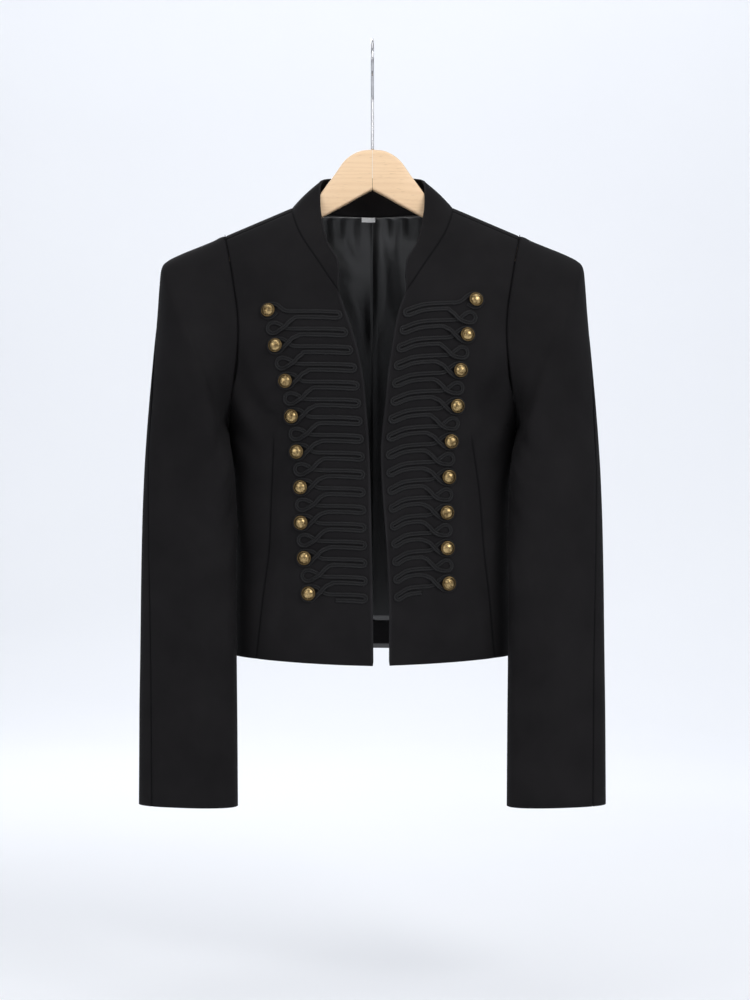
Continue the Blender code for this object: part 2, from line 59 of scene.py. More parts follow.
# Its painted shade, and the lighter colour along a bare edge, which is partly edge wear and partly
# a painted highlight, fade out over these distances
SEAM_SHADE_REACH, EDGE_WEAR_AND_HIGHLIGHT_REACH = 1.0, 1.3

# Shoulder line, which falls from the neck point to the sleeve head
NECK_HALF = 88.0
NECK_LEVEL = 183.0
SHOULDER_FALL = 0.425
SHOULDER_ROUNDING = 200.0
ROUNDING_POWER = 1.8
GIRTH_POWER = 2.4

# Body girth: level, half width, depth to the front, depth to the back
BODY = (
    (183, 250, 80, 72),
    (250, 232, 81, 74),
    (330, 205, 83, 76),
    (380, 172, 84, 76),
    (425, 158, 84, 75),
    (440, 158, 83, 74),
    (455, 156.5, 83, 74),
    (500, 153.5, 82, 73),
    (560, 152.5, 80, 72),
    (620, 153, 79, 72),
    (690, 153.5, 79, 73),
)
FRONT_HEM, BACK_HEM, SIDE_HEM = 681.0, 671.0, 673.0
UNDERARM_LEVEL = 425.0

# Armhole: level, distance from the centre line
ARMHOLE = (
    (214, 161.5),
    (221, 160.3),
    (242, 155.5),
    (276, 149.5),
    (298, 146.0),
    (320, 144.5),
    (345, 145.5),
    (385, 151.0),
    (410, 156.0),
    (425, 158.0),
)
ARMHOLE_TOP = 214.24

# Neck seam: level, distance from the centre line on the front
FRONT_NECK = ((183, 88.0), (193, 86.5), (217, 77.0), (252, 54.5), (280, 36.5))
# Neck seam on the back: distance from the centre line, level
BACK_NECK = ((0, 188.7), (45, 187.0), (75, 184.5), (88, 183.0))

# Front edges: level, x of the wearer's right edge, x of the wearer's left edge
FRONT_EDGES = (
    (280, -36.5, 36.5),
    (302, -29.0, 28.5),
    (336, -18.0, 22.0),
    (370, -10.5, 17.0),
    (398, -7.5, 14.5),
    (455, -3.5, 9.5),
    (555, -1.0, 15.5),
    (611, 0.0, 18.3),
    (681, 0.7, 18.3),
)

# Front darts: level, distance from the centre line on the wearer's right and left
DART_SHADE_REACH = 0.9
# A dart starts and is full at these levels; its hollow and its groove: depth, reach
DART_START, DART_FULL = 428, 450
DART_HOLLOW, DART_GROOVE = (1.1, 7), (0.8, 0.9)
# Cloth is drawn through these places beside the dart
BESIDE_DART = (0.8, 1.6)
DARTS = (
    (431, 106, 106),
    (497, 109, 116),
    (560, 112, 121),
    (612, 119, 127),
    (673, 126, 133),
)

# How far a cut edge bulges out, as a share of the wall, at a hem and at a seam
HEM_BULGE, SEAM_BULGE = 0.3, 0.12

# Collar top edge: share of the neck seam from the front, x, y, level
COLLAR_TOP = (
    (0.00, 35.6, -66.0, 251.5),
    (0.05, 38.5, -61.0, 243.0),
    (0.15, 49.0, -46.0, 224.0),
    (0.36, 56.0, -18.0, 190.0),
    (0.50, 57.5, -4.0, 162.0),
    (0.57, 56.5, 6.0, 152.5),
    (0.66, 47.5, 19.0, 148.5),
    (0.80, 30.0, 31.0, 146.5),
    (1.00, 0.0, 38.0, 146.0),
)
COLLAR_CORNER = 14.0
# The collar's base dips this far into the neck seam
COLLAR_TUCK = 0.7

# Sleeve sections: outer x, y, level, inner x, y, level, half depth,
# hind seam's turn from the outer point towards the front, and the share of the armhole's form
SLEEVE = (
    (161.5, 0, 214.2, 158.4, 0, 425, 52, -70, 1.00),
    (186.0, 0, 224.6, 158.8, -6, 428, 55, -66, 0.72),
    (209.0, 0, 234.4, 157.2, -16, 432, 55, -54, 0.46),
    (224.0, 0, 242.5, 156.2, -27, 437, 53, -38, 0.26),
    (230.5, -1, 251.0, 155.0, -37, 443, 51, -22, 0.12),
    (232.5, -3, 270.0, 153.0, -45, 451, 48, -8, 0.04),
    (234.5, -6, 305.0, 151.0, -51, 461, 45, 8, 0.00),
    (238.0, -11, 350.0, 149.0, -56, 474, 41, 22, 0.00),
    (242.0, -17, 405.0, 148.5, -59, 491, 37, 34, 0.00),
    (245.5, -22, 465.0, 148.2, -61, 515, 34, 42, 0.00),
    (248.0, -25, 530.0, 148.0, -63, 555, 31, 48, 0.00),
    (249.5, -26, 600.0, 147.8, -64, 612, 29, 52, 0.00),
    (250.5, -26, 670.0, 147.3, -64, 676, 28, 55, 0.00),
    (251.5, -26, 740.0, 146.6, -64, 743, 28, 57, 0.00),
    (252.3, -26, 834.0, 145.8, -64, 833, 27, 58, 0.00),
)
FORE_SEAM_TURN = 222.0
SLEEVE_POWER = 2.3
SLEEVE_SPREAD_ROWS = 6
HIND_SEAM_START, FORE_SEAM_START = -60.0, 209.0

# Buttons: level of the first and the last, and each one's distance from the centre line
BUTTONS = {
    "right": (301.5, 604.0, (111, 103, 92, 85.5, 80, 76, 75.5, 72, 67.5)),
    "left": (290.0, 593.5, (110.5, 101, 93.5, 90, 83.5, 81, 79, 79.5, 81)),
}
# Button turned from this profile: radius, height over the cloth
BUTTON_PROFILE = (
    (0.0, 9.2),
    (1.2, 9.15),
    (2.5, 8.9),
    (3.8, 8.4),
    (4.9, 7.65),
    (5.8, 6.7),
    (6.35, 5.75),
    (6.5, 5.35),
    (6.72, 5.2),
    (7.1, 5.25),
    (7.42, 4.95),
    (7.5, 4.5),
    (7.35, 4.05),
    (6.9, 3.7),
    (5.6, 3.45),
    (2.3, 3.3),
    (2.1, 2.4),
    (2.3, 0.5),
    (0.0, 0.45),
)
BUTTON_SIDES = 48

# Soutache braid
BRAID_WIDTH = 4.8
BRAID_GAP = 0.45
BRAID_LIFT = 1.7
ROWS_OF_BRAID = 17
LEG_APART = 3.2
EDGE_MARGIN = 6.4
# Level of a hairpin below its button, at the button column and at the front edge
HAIRPIN_DROP = {"right": (4.3, 5.6), "left": (6.5, 14.5)}
# A hairpin's legs: shares of their length, and the power by which they sag to the front edge
LEG_SHARES, LEG_SAG = (0, 0.6, 1), 2.6
# They start this far inboard of the crossing
LEG_START = 15.0
# The strand from a lower leg: distance inboard of the crossing, drop below the leg
LEG_BEND, LEG_DROP = 9.5, 1.6
# Loops round a button and between two: radius, distance of the middle and of the crossing
# inboard of the column, rise of the crossing over the upper leg
BUTTON_LOOP = (7.7, 0.0, 13.4, 3.5)
SMALL_LOOP = (6.1, 1.0, 13.6, 1.5)
LOOP_TURNS = (115, 60, 5, -50, -105)
# Strands beside the crossing, as distance inboard and level below it: the strand that comes
# in, before and after, then the one that leaves, before and after
BUTTON_STRANDS = ((4.5, -5.0), (-4.5, 4.2), (-4.5, -4.0), (5.5, 3.0))
SMALL_STRANDS = ((4.5, -5.2), (-4.5, 2.6), (-4.5, -3.2), (5.5, 1.2))
# Section of the braid, two cords with a groove between: share of the width, height
BRAID_SECTION = (
    (-0.50, 0.25),
    (-0.47, 0.75),
    (-0.36, 1.12),
    (-0.25, 1.2),
    (-0.13, 1.05),
    (-0.04, 0.62),
    (0.00, 0.52),
    (0.04, 0.62),
    (0.13, 1.05),
    (0.25, 1.2),
    (0.36, 1.12),
    (0.47, 0.75),
    (0.50, 0.25),
    (0.40, 0.0),
    (-0.40, 0.0),
)
BRAID_STEP, BRAID_EASING = 0.9, 5

# Hanger: distance from the centre, level of the top, level of the bottom, half thickness
HANGER = (
    (0.15, 119.4, 163.4, 7.0),
    (15, 121.5, 171.5, 7.0),
    (30, 131.0, 180.0, 7.0),
    (42, 147.5, 186.5, 6.5),
    (50, 158.0, 191.0, 6.0),
    (60, 171.0, 196.0, 6.0),
    (75, 181.5, 204.0, 6.0),
    (90, 192.0, 212.0, 6.0),
    (125, 203.6, 228.0, 6.0),
    (160, 218.4, 243.0, 6.0),
    (192, 232.2, 256.0, 6.0),
    (202, 238.0, 253.0, 4.5),
)
WOOD_ROUNDING = 3.2
WIRE_DIAMETER = 3.4
HOOK_INNER_RADIUS = 20.0
# The hook's turn from the top, in degrees, where it leaves the stem and at its end
HOOK_FROM, HOOK_TO = 150, -120
WIRE_STEP, WIRE_SIDES = 1.2, 16
HOOK_STEM = ((0, 119.1), (0, 74.0), (0, 62.0), (-3.5, 52.0))

# Back lining: levels of its top and hem, and how far it stays from the side and the crest
LINING_TOP, LINING_HEM, FACING_HEM = 189.5, 640.0, 666.0
LINING_SIDE, LINING_BELOW_CREST = 15.0, 16.0

# Label at the back neck, a tape folded once: its size when folded, and the gap within
LABEL_WIDTH, LABEL_HEIGHT, LABEL_THICK, LABEL_CLEAR = 15.0, 4.6, 0.22, 1.3
LABEL_X, LABEL_TOP, LABEL_FOLD = -4.5, 189.8, 0.55

# Creases, given one by one: where each starts and ends, half width, height, bow sideways.
# On the body: distance from the centre line and level. On a sleeve: turn and level.
FRONT_CREASES = {
    "right": (
        (150, 338, 108, 424, 10.0, -2.4, 8),
        (152, 372, 116, 441, 8.0, 1.6, 7),
        (153, 405, 121, 462, 8.0, -1.5, 5),
        (121, 412, 99, 417, 4.0, -1.1, -2),
        (116, 424, 97, 430, 5.0, 0.7, 2),
        (122, 232, 134, 322, 14.0, -1.0, -6),
        (140, 470, 128, 600, 12.0, 1.1, 6),
        (92, 610, 106, 674, 9.0, -0.8, 4),
        (60, 636, 112, 662, 9.0, 0.7, -5),
        (24, 640, 66, 668, 8.0, -0.6, 3),
        (88, 560, 96, 640, 7.0, -0.7, 3),
    ),
    "left": (
        (147, 352, 110, 418, 11.0, -2.1, 6),
        (150, 384, 118, 452, 8.0, 1.4, 9),
        (152, 421, 126, 480, 7.0, -1.3, 6),
        (117, 402, 103, 442, 6.0, 0.9, 3),
        (118, 240, 138, 300, 13.0, -0.9, 5),
        (138, 490, 134, 640, 10.0, 1.0, -5),
        (108, 590, 118, 668, 8.0, -0.9, -4),
        (48, 628, 58, 676, 10.0, 0.7, 4),
        (30, 650, 84, 672, 7.0, -0.5, -3),
        (96, 470, 106, 560, 7.0, 0.8, -3),
    ),
}
BACK_CREASES = {
    "right": (
        (150, 330, 92, 405, 12.0, -2.2, -8),
        (153, 368, 104, 436, 9.0, 1.5, -6),
        (154, 408, 112, 470, 9.0, -1.4, 5),
        (30, 212, 12, 300, 12.0, -0.9, 4),
        (118, 234, 128, 330, 13.0, -1.0, 5),
        (20, 500, 74, 522, 11.0, -1.1, 4),
        (66, 540, 132, 520, 10.0, 1.0, -5),
        (88, 580, 104, 666, 11.0, -1.0, 6),
        (36, 600, 50, 668, 10.0, 0.8, 5),
    ),
    "left": (
        (149, 342, 96, 398, 11.0, -2.0, -6),
        (152, 380, 108, 444, 9.0, 1.6, -8),
        (154, 424, 118, 492, 8.0, -1.3, 5),
        (26, 216, 14, 318, 11.0, -0.8, -4),
        (114, 240, 134, 318, 12.0, -1.1, 6),
        (24, 478, 82, 506, 10.0, -1.2, 5),
        (58, 548, 128, 512, 11.0, 0.9, -4),
        (98, 566, 94, 664, 10.0, -0.9, -6),
        (40, 618, 62, 666, 9.0, 0.7, 4),
    ),
}
UPPER_CREASES = {
    "right": (
        (160, 392, 118, 470, 8.0, -2.0, 5),
        (178, 420, 132, 505, 7.0, 1.5, 5),
        (196, 462, 142, 548, 8.0, -1.6, 6),
        (205, 520, 158, 585, 8.0, 1.2, -5),
        (60, 262, 74, 348, 12.0, 0.9, 5),
        (34, 300, 52, 430, 13.0, -1.0, -5),
        (112, 560, 100, 690, 12.0, 1.0, 6),
        (150, 600, 132, 760, 11.0, -1.0, -5),
        (92, 700, 110, 826, 11.0, 0.8, 4),
    ),
    "left": (
        (166, 404, 124, 462, 8.0, -1.9, 4),
        (184, 436, 138, 492, 7.0, 1.4, 6),
        (200, 478, 150, 532, 8.0, -1.5, 5),
        (208, 536, 164, 612, 8.0, 1.1, -6),
        (52, 256, 80, 338, 12.0, 1.0, 4),
        (40, 320, 44, 452, 13.0, -0.9, 5),
        (104, 548, 118, 672, 12.0, 0.9, -6),
        (142, 622, 146, 772, 10.0, -0.9, 5),
        (98, 716, 96, 828, 12.0, 0.8, -4),
    ),
}
UNDER_CREASES = {
    "right": (
        (246, 440, 292, 512, 8.0, -1.6, 5),
        (238, 486, 300, 560, 8.0, 1.3, -5),
        (244, 546, 318, 604, 8.0, -1.1, 5),
        (300, 350, 322, 470, 12.0, -1.0, 4),
        (330, 620, 352, 760, 12.0, 0.9, 5),
        (272, 650, 290, 800, 11.0, -0.8, -5),
    ),
    "left": (
        (242, 452, 296, 498, 8.0, -1.5, 4),
        (240, 500, 306, 540, 7.0, 1.2, -4),
        (246, 560, 314, 622, 9.0, -1.2, 6),
        (296, 340, 330, 450, 12.0, -1.1, -5),
        (338, 600, 346, 744, 12.0, 0.8, -4),
        (268, 668, 300, 790, 11.0, -0.8, 5),
    ),
}
CREASE_STRENGTH = 1.4
# How far past its ends a crease is looked for, as a share of it, and how it tapers there
CREASE_PAST_END, CREASE_TAPER = 0.35, 1.6
# One degree round a sleeve, as a length on its surface
SLEEVE_DEGREE = 0.75


# Level from which an edge's place on a row is sought, in so many rounds
SETTLE_FROM, SETTLE_ROUNDS = 300.0, 30


def smooth(t, rows, column):
    """Value at t on a smooth curve through one column of a table, whose first column is t."""
    knots = [row[0] for row in rows]
    t = min(max(t, knots[0]), knots[-1])
    i = 0
    while i < len(knots) - 2 and t >= knots[i + 1]:
        i += 1
    before, after = max(i - 1, 0), min(i + 2, len(knots) - 1)
    a, b = rows[i][column], rows[i + 1][column]
    step = knots[i + 1] - knots[i]
    slope_a = (b - rows[before][column]) / (knots[i + 1] - knots[before])
    slope_b = (rows[after][column] - a) / (knots[after] - knots[i])
    f = (t - knots[i]) / step
    return (
        (2 * f**3 - 3 * f**2 + 1) * a
        + (f**3 - 2 * f**2 + f) * step * slope_a
        + (3 * f**2 - 2 * f**3) * b
        + (f**3 - f**2) * step * slope_b
    )


def fade(value, start, end):
    """0 before start, 1 after end, and smooth between."""
    f = min(1, max(0, (value - start) / (end - start)))
    return f * f * (3 - 2 * f)


def crest_level(x):
    return NECK_LEVEL + SHOULDER_FALL * (abs(x) - NECK_HALF)


def hem_level(side, x):
    centre = FRONT_HEM if side == FRONT else BACK_HEM
    return centre + (SIDE_HEM - centre) * min(1, abs(x) / smooth(SIDE_HEM, BODY, 1)) ** 1.5


def on_body(side, x, level, inset=0.0):
    """Point of the body's outer surface in front or behind, or inset mm inside it."""
    half = smooth(level, BODY, 1) - inset
    deep = smooth(level, BODY, 2 if side == FRONT else 3) - inset
    across = (1 - min(1, abs(x) / half) ** GIRTH_POWER) ** (1 / GIRTH_POWER)
    fall = min(1, max(0, level - inset - crest_level(x)) / SHOULDER_ROUNDING)
    over = (1 - (1 - fall) ** ROUNDING_POWER) ** (1 / ROUNDING_POWER)
    return Vector((x, side * deep * across * over, -level))


def row_level(side, row, x):
    """Level at x of a row of cloth, 0 along the shoulder line and 1 along the hem."""
    return (1 - row) * crest_level(x) + row * hem_level(side, x)


def armhole_x(level):
    return smooth(level, ARMHOLE, 1) if level < UNDERARM_LEVEL else smooth(level, BODY, 1)


def settle(side, row, edge):
    """Where a row meets an edge that is given as x for each level."""
    x = edge(SETTLE_FROM)
    for _ in range(SETTLE_ROUNDS):
        x = edge(row_level(side, row, x))
    return x


def armhole_level(turn):
    share = (1 - math.cos(math.radians(turn))) / 2
    return ARMHOLE_TOP + (UNDERARM_LEVEL - ARMHOLE_TOP) * share


def armhole_row(turn):
    """The row of cloth that ends at this turn of the armhole."""
    level = armhole_level(turn)
    x = armhole_x(level)
    return max(0, (level - crest_level(x)) / (hem_level(FRONT, x) - crest_level(x)))


def relief(creases, x, level, across=1.0):
    """Height at a place of all the creases laid there."""
    total = 0.0
    for x0, level0, x1, level1, reach, height, bow in creases:
        run, drop = (x1 - x0) * across, level1 - level0
        length = math.hypot(run, drop)
        dx, dy = (x - x0) * across, level - level0
        along = (dx * run + dy * drop) / length**2
        if not -CREASE_PAST_END < along < 1 + CREASE_PAST_END:
            continue
        aside = (dx * drop - dy * run) / length - bow * 4 * along * (1 - along)
        taper = math.exp(-((2 * along - 1) ** 4) * CREASE_TAPER)
        total += CREASE_STRENGTH * height * taper * math.exp(-((aside / reach) ** 2))
    return total


# Cloth walls


EDGE_STEPS, THIN_EDGE_STEPS = (0.6, 1.3, 2.2, 3.4), (0.25, 0.6)
SMALLEST = 1e-9


def steps_with_edges(count, length, near=EDGE_STEPS):
    """Shares of a length, with extra ones close to both ends for the seam's roll."""
    shares = {round(k / count, 6) for k in range(count + 1)}
    for distance in near:
        shares |= {round(distance / length, 6), round(1 - distance / length, 6)}
    return sorted(shares)


def distances(points, axis):
    """Length along the cloth from the first row or column, for every point."""
    steps = np.linalg.norm(np.diff(points, axis=axis), axis=2)
    start = np.zeros_like(np.take(steps, [0], axis=axis))
    return np.concatenate([start, np.cumsum(steps, axis=axis)], axis=axis)


def outward_normals(points, middle):
    """Unit normals of a grid of points, away from the middle given for each row."""
    down, across = np.gradient(points, axis=0), np.gradient(points, axis=1)
    normals = np.cross(across, down)
    normals /= np.maximum(np.linalg.norm(normals, axis=2, keepdims=True), SMALLEST)
    if np.sum(normals * (points - middle)) < 0:
        normals = -normals
    return normals


def draw_in(points, first_row=0.0, last_row=0.0, first_column=0.0, last_column=0.0):
    """Draws the named edges in along the cloth, which leaves the seams' gap."""
    drawn = points.copy()

    def pulled(edge, inner, distance):
        way = inner - edge
        length = np.maximum(np.linalg.norm(way, axis=1, keepdims=True), SMALLEST)
        return edge + way / length * distance

    drawn[:, 0] = pulled(points[:, 0], points[:, 3], first_column)
    drawn[:, -1] = pulled(points[:, -1], points[:, -4], last_column)
    drawn[0] = pulled(drawn[0], drawn[3], first_row)
    drawn[-1] = pulled(drawn[-1], drawn[-4], last_row)
    return drawn


def near_edges(points, reach, first_row=0.0, last_row=0.0, first_column=0.0, last_column=0.0):
    """A value for every point that is highest at the named edges and fades over the reach."""
    along, down = distances(points, 1), distances(points, 0)
    value = np.zeros(along.shape)
    for most, distance in (
        (first_column, along),
        (last_column, along[:, -1:] - along),
        (first_row, down),
        (last_row, down[-1:] - down),
    ):
        value += most * np.exp(-((distance / reach) ** 2))
    return value


def seam_roll(points, *depths):
    """Height of the cloth where it rolls into the seams at its edges."""
    return -near_edges(points, SEAM_REACH, *depths)


def add_mesh(name, vertices, faces, finishes, weave=None, face_finish=None, marks=None):
    """A mesh object from points in millimetres, with its weave map in metres and its marks."""
    mesh = bpy.data.meshes.new(name)
    mesh.from_pydata((np.asarray(vertices, float) * MM).tolist(), [], faces)
    for finish in finishes:
        mesh.materials.append(finish)
    if face_finish is not None:
        mesh.polygons.foreach_set("material_index", face_finish)
    if weave is not None:
        layer = mesh.uv_layers.new(name="weave")
        corners = np.zeros(len(mesh.loops), np.int32)
        mesh.loops.foreach_get("vertex_index", corners)
        layer.data.foreach_set("uv", (np.asarray(weave, float)[corners] * MM).ravel())
    for label, values in (marks or {}).items():
        layer = mesh.attributes.new(label, "FLOAT", "POINT")
        layer.data.foreach_set("value", np.clip(values, 0.0, 1.0).astype(np.float32))
    mesh.shade_smooth()
    obj = bpy.data.objects.new(name, mesh)
    bpy.context.scene.collection.objects.link(obj)
    return obj


def cloth_wall(name, outer, normals, thickness, finishes, hems=(), seam=None, worn=None):
    """Cloth from its outer side inwards, closed round its edges with a rounded rim."""
    rows, columns = outer.shape[:2]
    count = rows * columns
    inner = outer - normals * thickness
    index = np.arange(count).reshape(rows, columns)
    a, b = index[:-1, :-1].ravel(), index[1:, :-1].ravel()
    c, d = index[1:, 1:].ravel(), index[:-1, 1:].ravel()
    i, k = rows // 2, columns // 2
    turn = np.cross(outer[i + 1, k] - outer[i, k], outer[i, k + 1] - outer[i, k])
    flipped = np.dot(turn, normals[i, k]) < 0
    faces_out = np.stack([a, b, c, d], 1)
    if flipped:
        faces_out = faces_out[:, ::-1]
    faces = faces_out.tolist() + (faces_out[:, ::-1] + count).tolist()
    rim = [(0, k) for k in range(columns)]
    rim += [(i, columns - 1) for i in range(1, rows)]
    rim += [(rows - 1, k) for k in range(columns - 2, -1, -1)]
    rim += [(i, 0) for i in range(rows - 2, 0, -1)]
    sides = (
        ("first_row", 1, 0),
        ("last_column", 0, -1),
        ("last_row", -1, 0),
        ("first_column", 0, 1),
    )
    ring = []
    for i, k in rim:
        side = 0 if i == 0 else 1 if k == columns - 1 else 2 if i == rows - 1 else 3
        named, down, across = sides[side]
        inside = outer[
            min(max(i + 2 * down, 0), rows - 1), min(max(k + 2 * across, 0), columns - 1)
        ]
        way = outer[i, k] - inside
        way = way / max(np.linalg.norm(way), SMALLEST)
        bulge = HEM_BULGE if named in hems else SEAM_BULGE
        wall = np.linalg.norm(outer[i, k] - inner[i, k])
        ring.append((outer[i, k] + inner[i, k]) / 2 + way * bulge * wall)
    total = len(rim)
    for n in range(total):
        m = (n + 1) % total
        p, q = rim[n][0] * columns + rim[n][1], rim[m][0] * columns + rim[m][1]
        u, v = 2 * count + n, 2 * count + m
        pair = [(p, u, v, q), (u, count + p, count + q, v)]
        if not flipped:
            pair = [face[::-1] for face in pair]
        faces += pair
    along, down = distances(outer, 1), distances(outer, 0)
    weave = np.stack([along.ravel(), down.ravel()], 1)
    weave_rim = np.array([weave[i * columns + k] for i, k in rim])
    weave = np.concatenate([weave, weave, weave_rim])
    last = len(finishes) - 1
    which = [0] * len(faces_out) + [last] * len(faces_out) + [0] * (2 * total)
    vertices = np.concatenate([outer.reshape(-1, 3), inner.reshape(-1, 3), np.array(ring)])
    # The worn mark lightens bare edges: partly edge wear, partly a painted highlight
    marks = {}
    # The seam mark is painted shade beside the seams and along the darts
    for label, values in (("seam", seam), ("worn", worn)):
        if values is not None:
            on_rim = np.array([values[i, k] for i, k in rim])
            marks[label] = np.concatenate([values.ravel(), values.ravel(), on_rim])
    return add_mesh(name, vertices, faces, finishes, weave, which, marks)


# The armhole's turn at the row that meets the neck's front corner, and its centre back
NECK_CORNER_TURN, NECK_CENTRE_TURN = 87, 48
NECK_ROLL, NECK_MARGIN = 0.3, 0.5
NECK_CORNER = armhole_row(NECK_CORNER_TURN)
SHOULDER_SEAM_TURN = 18
FRONT_SEAM_ROW = armhole_row(SHOULDER_SEAM_TURN)
UNDERARM_ROW = armhole_row(180)


# Rows of cloth: so many turns of the armhole apart, then so many rows below the arm, and
# the least step from the first row, and the step to the second
ROW_TURN, ROWS_BELOW_ARM = 2.6, 64
LEAST_ROW_STEP, FIRST_ROW_STEP = 0.0008, 0.002


def body_rows(start):
    """Rows of cloth from one below the crest down to the hem, and one at the neck's corner."""
    rows = {armhole_row(k * ROW_TURN) for k in range(math.ceil(180 / ROW_TURN))}
    rows |= {NECK_CORNER, UNDERARM_ROW}
    step = (1 - UNDERARM_ROW) / ROWS_BELOW_ARM
    rows |= {UNDERARM_ROW + step * k for k in range(ROWS_BELOW_ARM + 1)}
    rows = {row for row in rows if row > start + LEAST_ROW_STEP}
    return sorted(rows | {start, start + FIRST_ROW_STEP})


def front_inner_x(wearer, row):
    """The neck seam's x for a row above the corner, and the front edge's below it."""
    if row <= NECK_CORNER + SMALLEST:
        return settle(FRONT, row, lambda level: smooth(level, FRONT_NECK, 1))
    column = 1 if wearer == "right" else 2
    sign = -1 if wearer == "right" else 1
    return sign * settle(FRONT, row, lambda level: smooth(level, FRONT_EDGES, column))


def back_neck_x(row):
    """Where a row of the back meets the neck seam, or 0 once it has reached the centre line."""
    low, high = 0.0, NECK_HALF
    if row_level(BACK, row, 0) >= BACK_NECK[0][1] - NECK_MARGIN:
        return 0.0
    for _ in range(SETTLE_ROUNDS):
        middle = (low + high) / 2
        if row_level(BACK, row, middle) > smooth(middle, BACK_NECK, 1):
            high = middle
        else:
            low = middle
    return high


def dart_x(wearer, row):
    column = 1 if wearer == "right" else 2
    return settle(FRONT, row, lambda level: smooth(level, DARTS, column))


def front_relief(wearer, x, level):
    """Creases of one front and the hollow that its dart pulls in."""
    dart = smooth(level, DARTS, 1 if wearer == "right" else 2)
    parts = (DART_HOLLOW, DART_GROOVE)
    hollow = sum(depth * math.exp(-(((x - dart) / reach) ** 2)) for depth, reach in parts)
    sewn = fade(level, DART_START, DART_FULL)
    return relief(FRONT_CREASES[wearer], x, level) - sewn * hollow


# The bare front edge starts between these levels; its lip, and how much thicker it is
EDGE_STARTS = (268, 290)
EDGE_LIP, EDGE_THICKER, EDGE_THICK_REACH = 0.5, 0.5, 5
BODY_MIDDLE, NECK_MIDDLE = np.array([0, 0, -450.0]), np.array([0, 0, -200.0])


# Columns of a front, beside its edge and beside its armhole, and of a back: count and
# width; rows that carry the back over the shoulder to its seam
FRONT_INNER_COLUMNS, FRONT_OUTER_COLUMNS = (46, 90), (22, 40)
BACK_COLUMNS, OVER_SHOULDER_ROWS = (64, 150), 5
DART_CROWD = 5


def eased_shares(count, length):
    """Shares that crowd towards the outer end, where the body curves most."""
    return [math.sin(math.pi / 2 * s) for s in steps_with_edges(count, length)]


def make_front(wearer):
    flip = -1 if wearer == "right" else 1
    rows = body_rows(FRONT_SEAM_ROW)
    # The last few shares would crowd the dart, so one step reaches it
    inner_shares = eased_shares(*FRONT_INNER_COLUMNS)[:-DART_CROWD] + [1.0]
    outer_shares = steps_with_edges(*FRONT_OUTER_COLUMNS)[1:]
    near, far = BESIDE_DART
    points, heights, sewn = [], [], []
    for row in rows:
        inner, dart = front_inner_x(wearer, row), dart_x(wearer, row)
        outer = settle(FRONT, row, armhole_x)
        xs = [inner + (dart - far - inner) * s for s in inner_shares]
        xs += [dart - near, dart, dart + near]
        xs += [dart + far + (outer - dart - far) * s for s in outer_shares]
        line = [on_body(FRONT, x, row_level(FRONT, row, x)) for x in xs]
        points.append([(flip * p.x, p.y, p.z) for p in line])
        heights.append([front_relief(wearer, x, row_level(FRONT, row, x)) for x in xs])
        # Painted shade along the dart's line, carried in the seam mark
        dart_shade_fade = fade(row_level(FRONT, row, dart), DART_START, DART_FULL)
        sewn.append([dart_shade_fade * math.exp(-(((x - dart) / DART_SHADE_REACH) ** 2)) for x in xs])
    points = draw_in(np.array(points), HALF_GAP, 0, HALF_GAP, HALF_GAP)
    normals = outward_normals(points, BODY_MIDDLE)
    edge = distances(points, 1)
    below_neck = np.array([[fade(-p[2], *EDGE_STARTS) for p in row] for row in points])
    lip = EDGE_LIP * np.exp(-(((edge - BODY_CLOTH) / BODY_CLOTH) ** 2)) * below_neck
    roll = seam_roll(points, SEAM_DEPTH, 0, 0, SEAM_DEPTH)
    neck_roll = -SEAM_DEPTH * np.exp(-((edge / SEAM_REACH) ** 2)) * (1 - below_neck)
    height = np.array(heights) + roll + lip + neck_roll
    points += normals * height[..., None]
    thicker = EDGE_THICKER * np.exp(-((edge / EDGE_THICK_REACH) ** 2)) * below_neck
    thickness = BODY_CLOTH + thicker[..., None]
    hems = ("first_column", "last_row")
    # Painted shade: the seam mark darkens the cloth beside its seams, along the dart and along the
    # neck seam above the bare edge
    seam = near_edges(points, SEAM_SHADE_REACH, 1, 0, 0, 1)
    seam += np.array(sewn) + np.exp(-((edge / SEAM_SHADE_REACH) ** 2)) * (1 - below_neck)
    # Lighter colour along the bare front edge: partly edge wear, partly a painted highlight where
    # the rolled edge catches light
    worn = np.exp(-((edge / EDGE_WEAR_AND_HIGHLIGHT_REACH) ** 2)) * below_neck
    name, finishes = f"front_{wearer}_cloth", (suiting, satin)
    return cloth_wall(name, points, normals, thickness, finishes, hems, seam, worn)


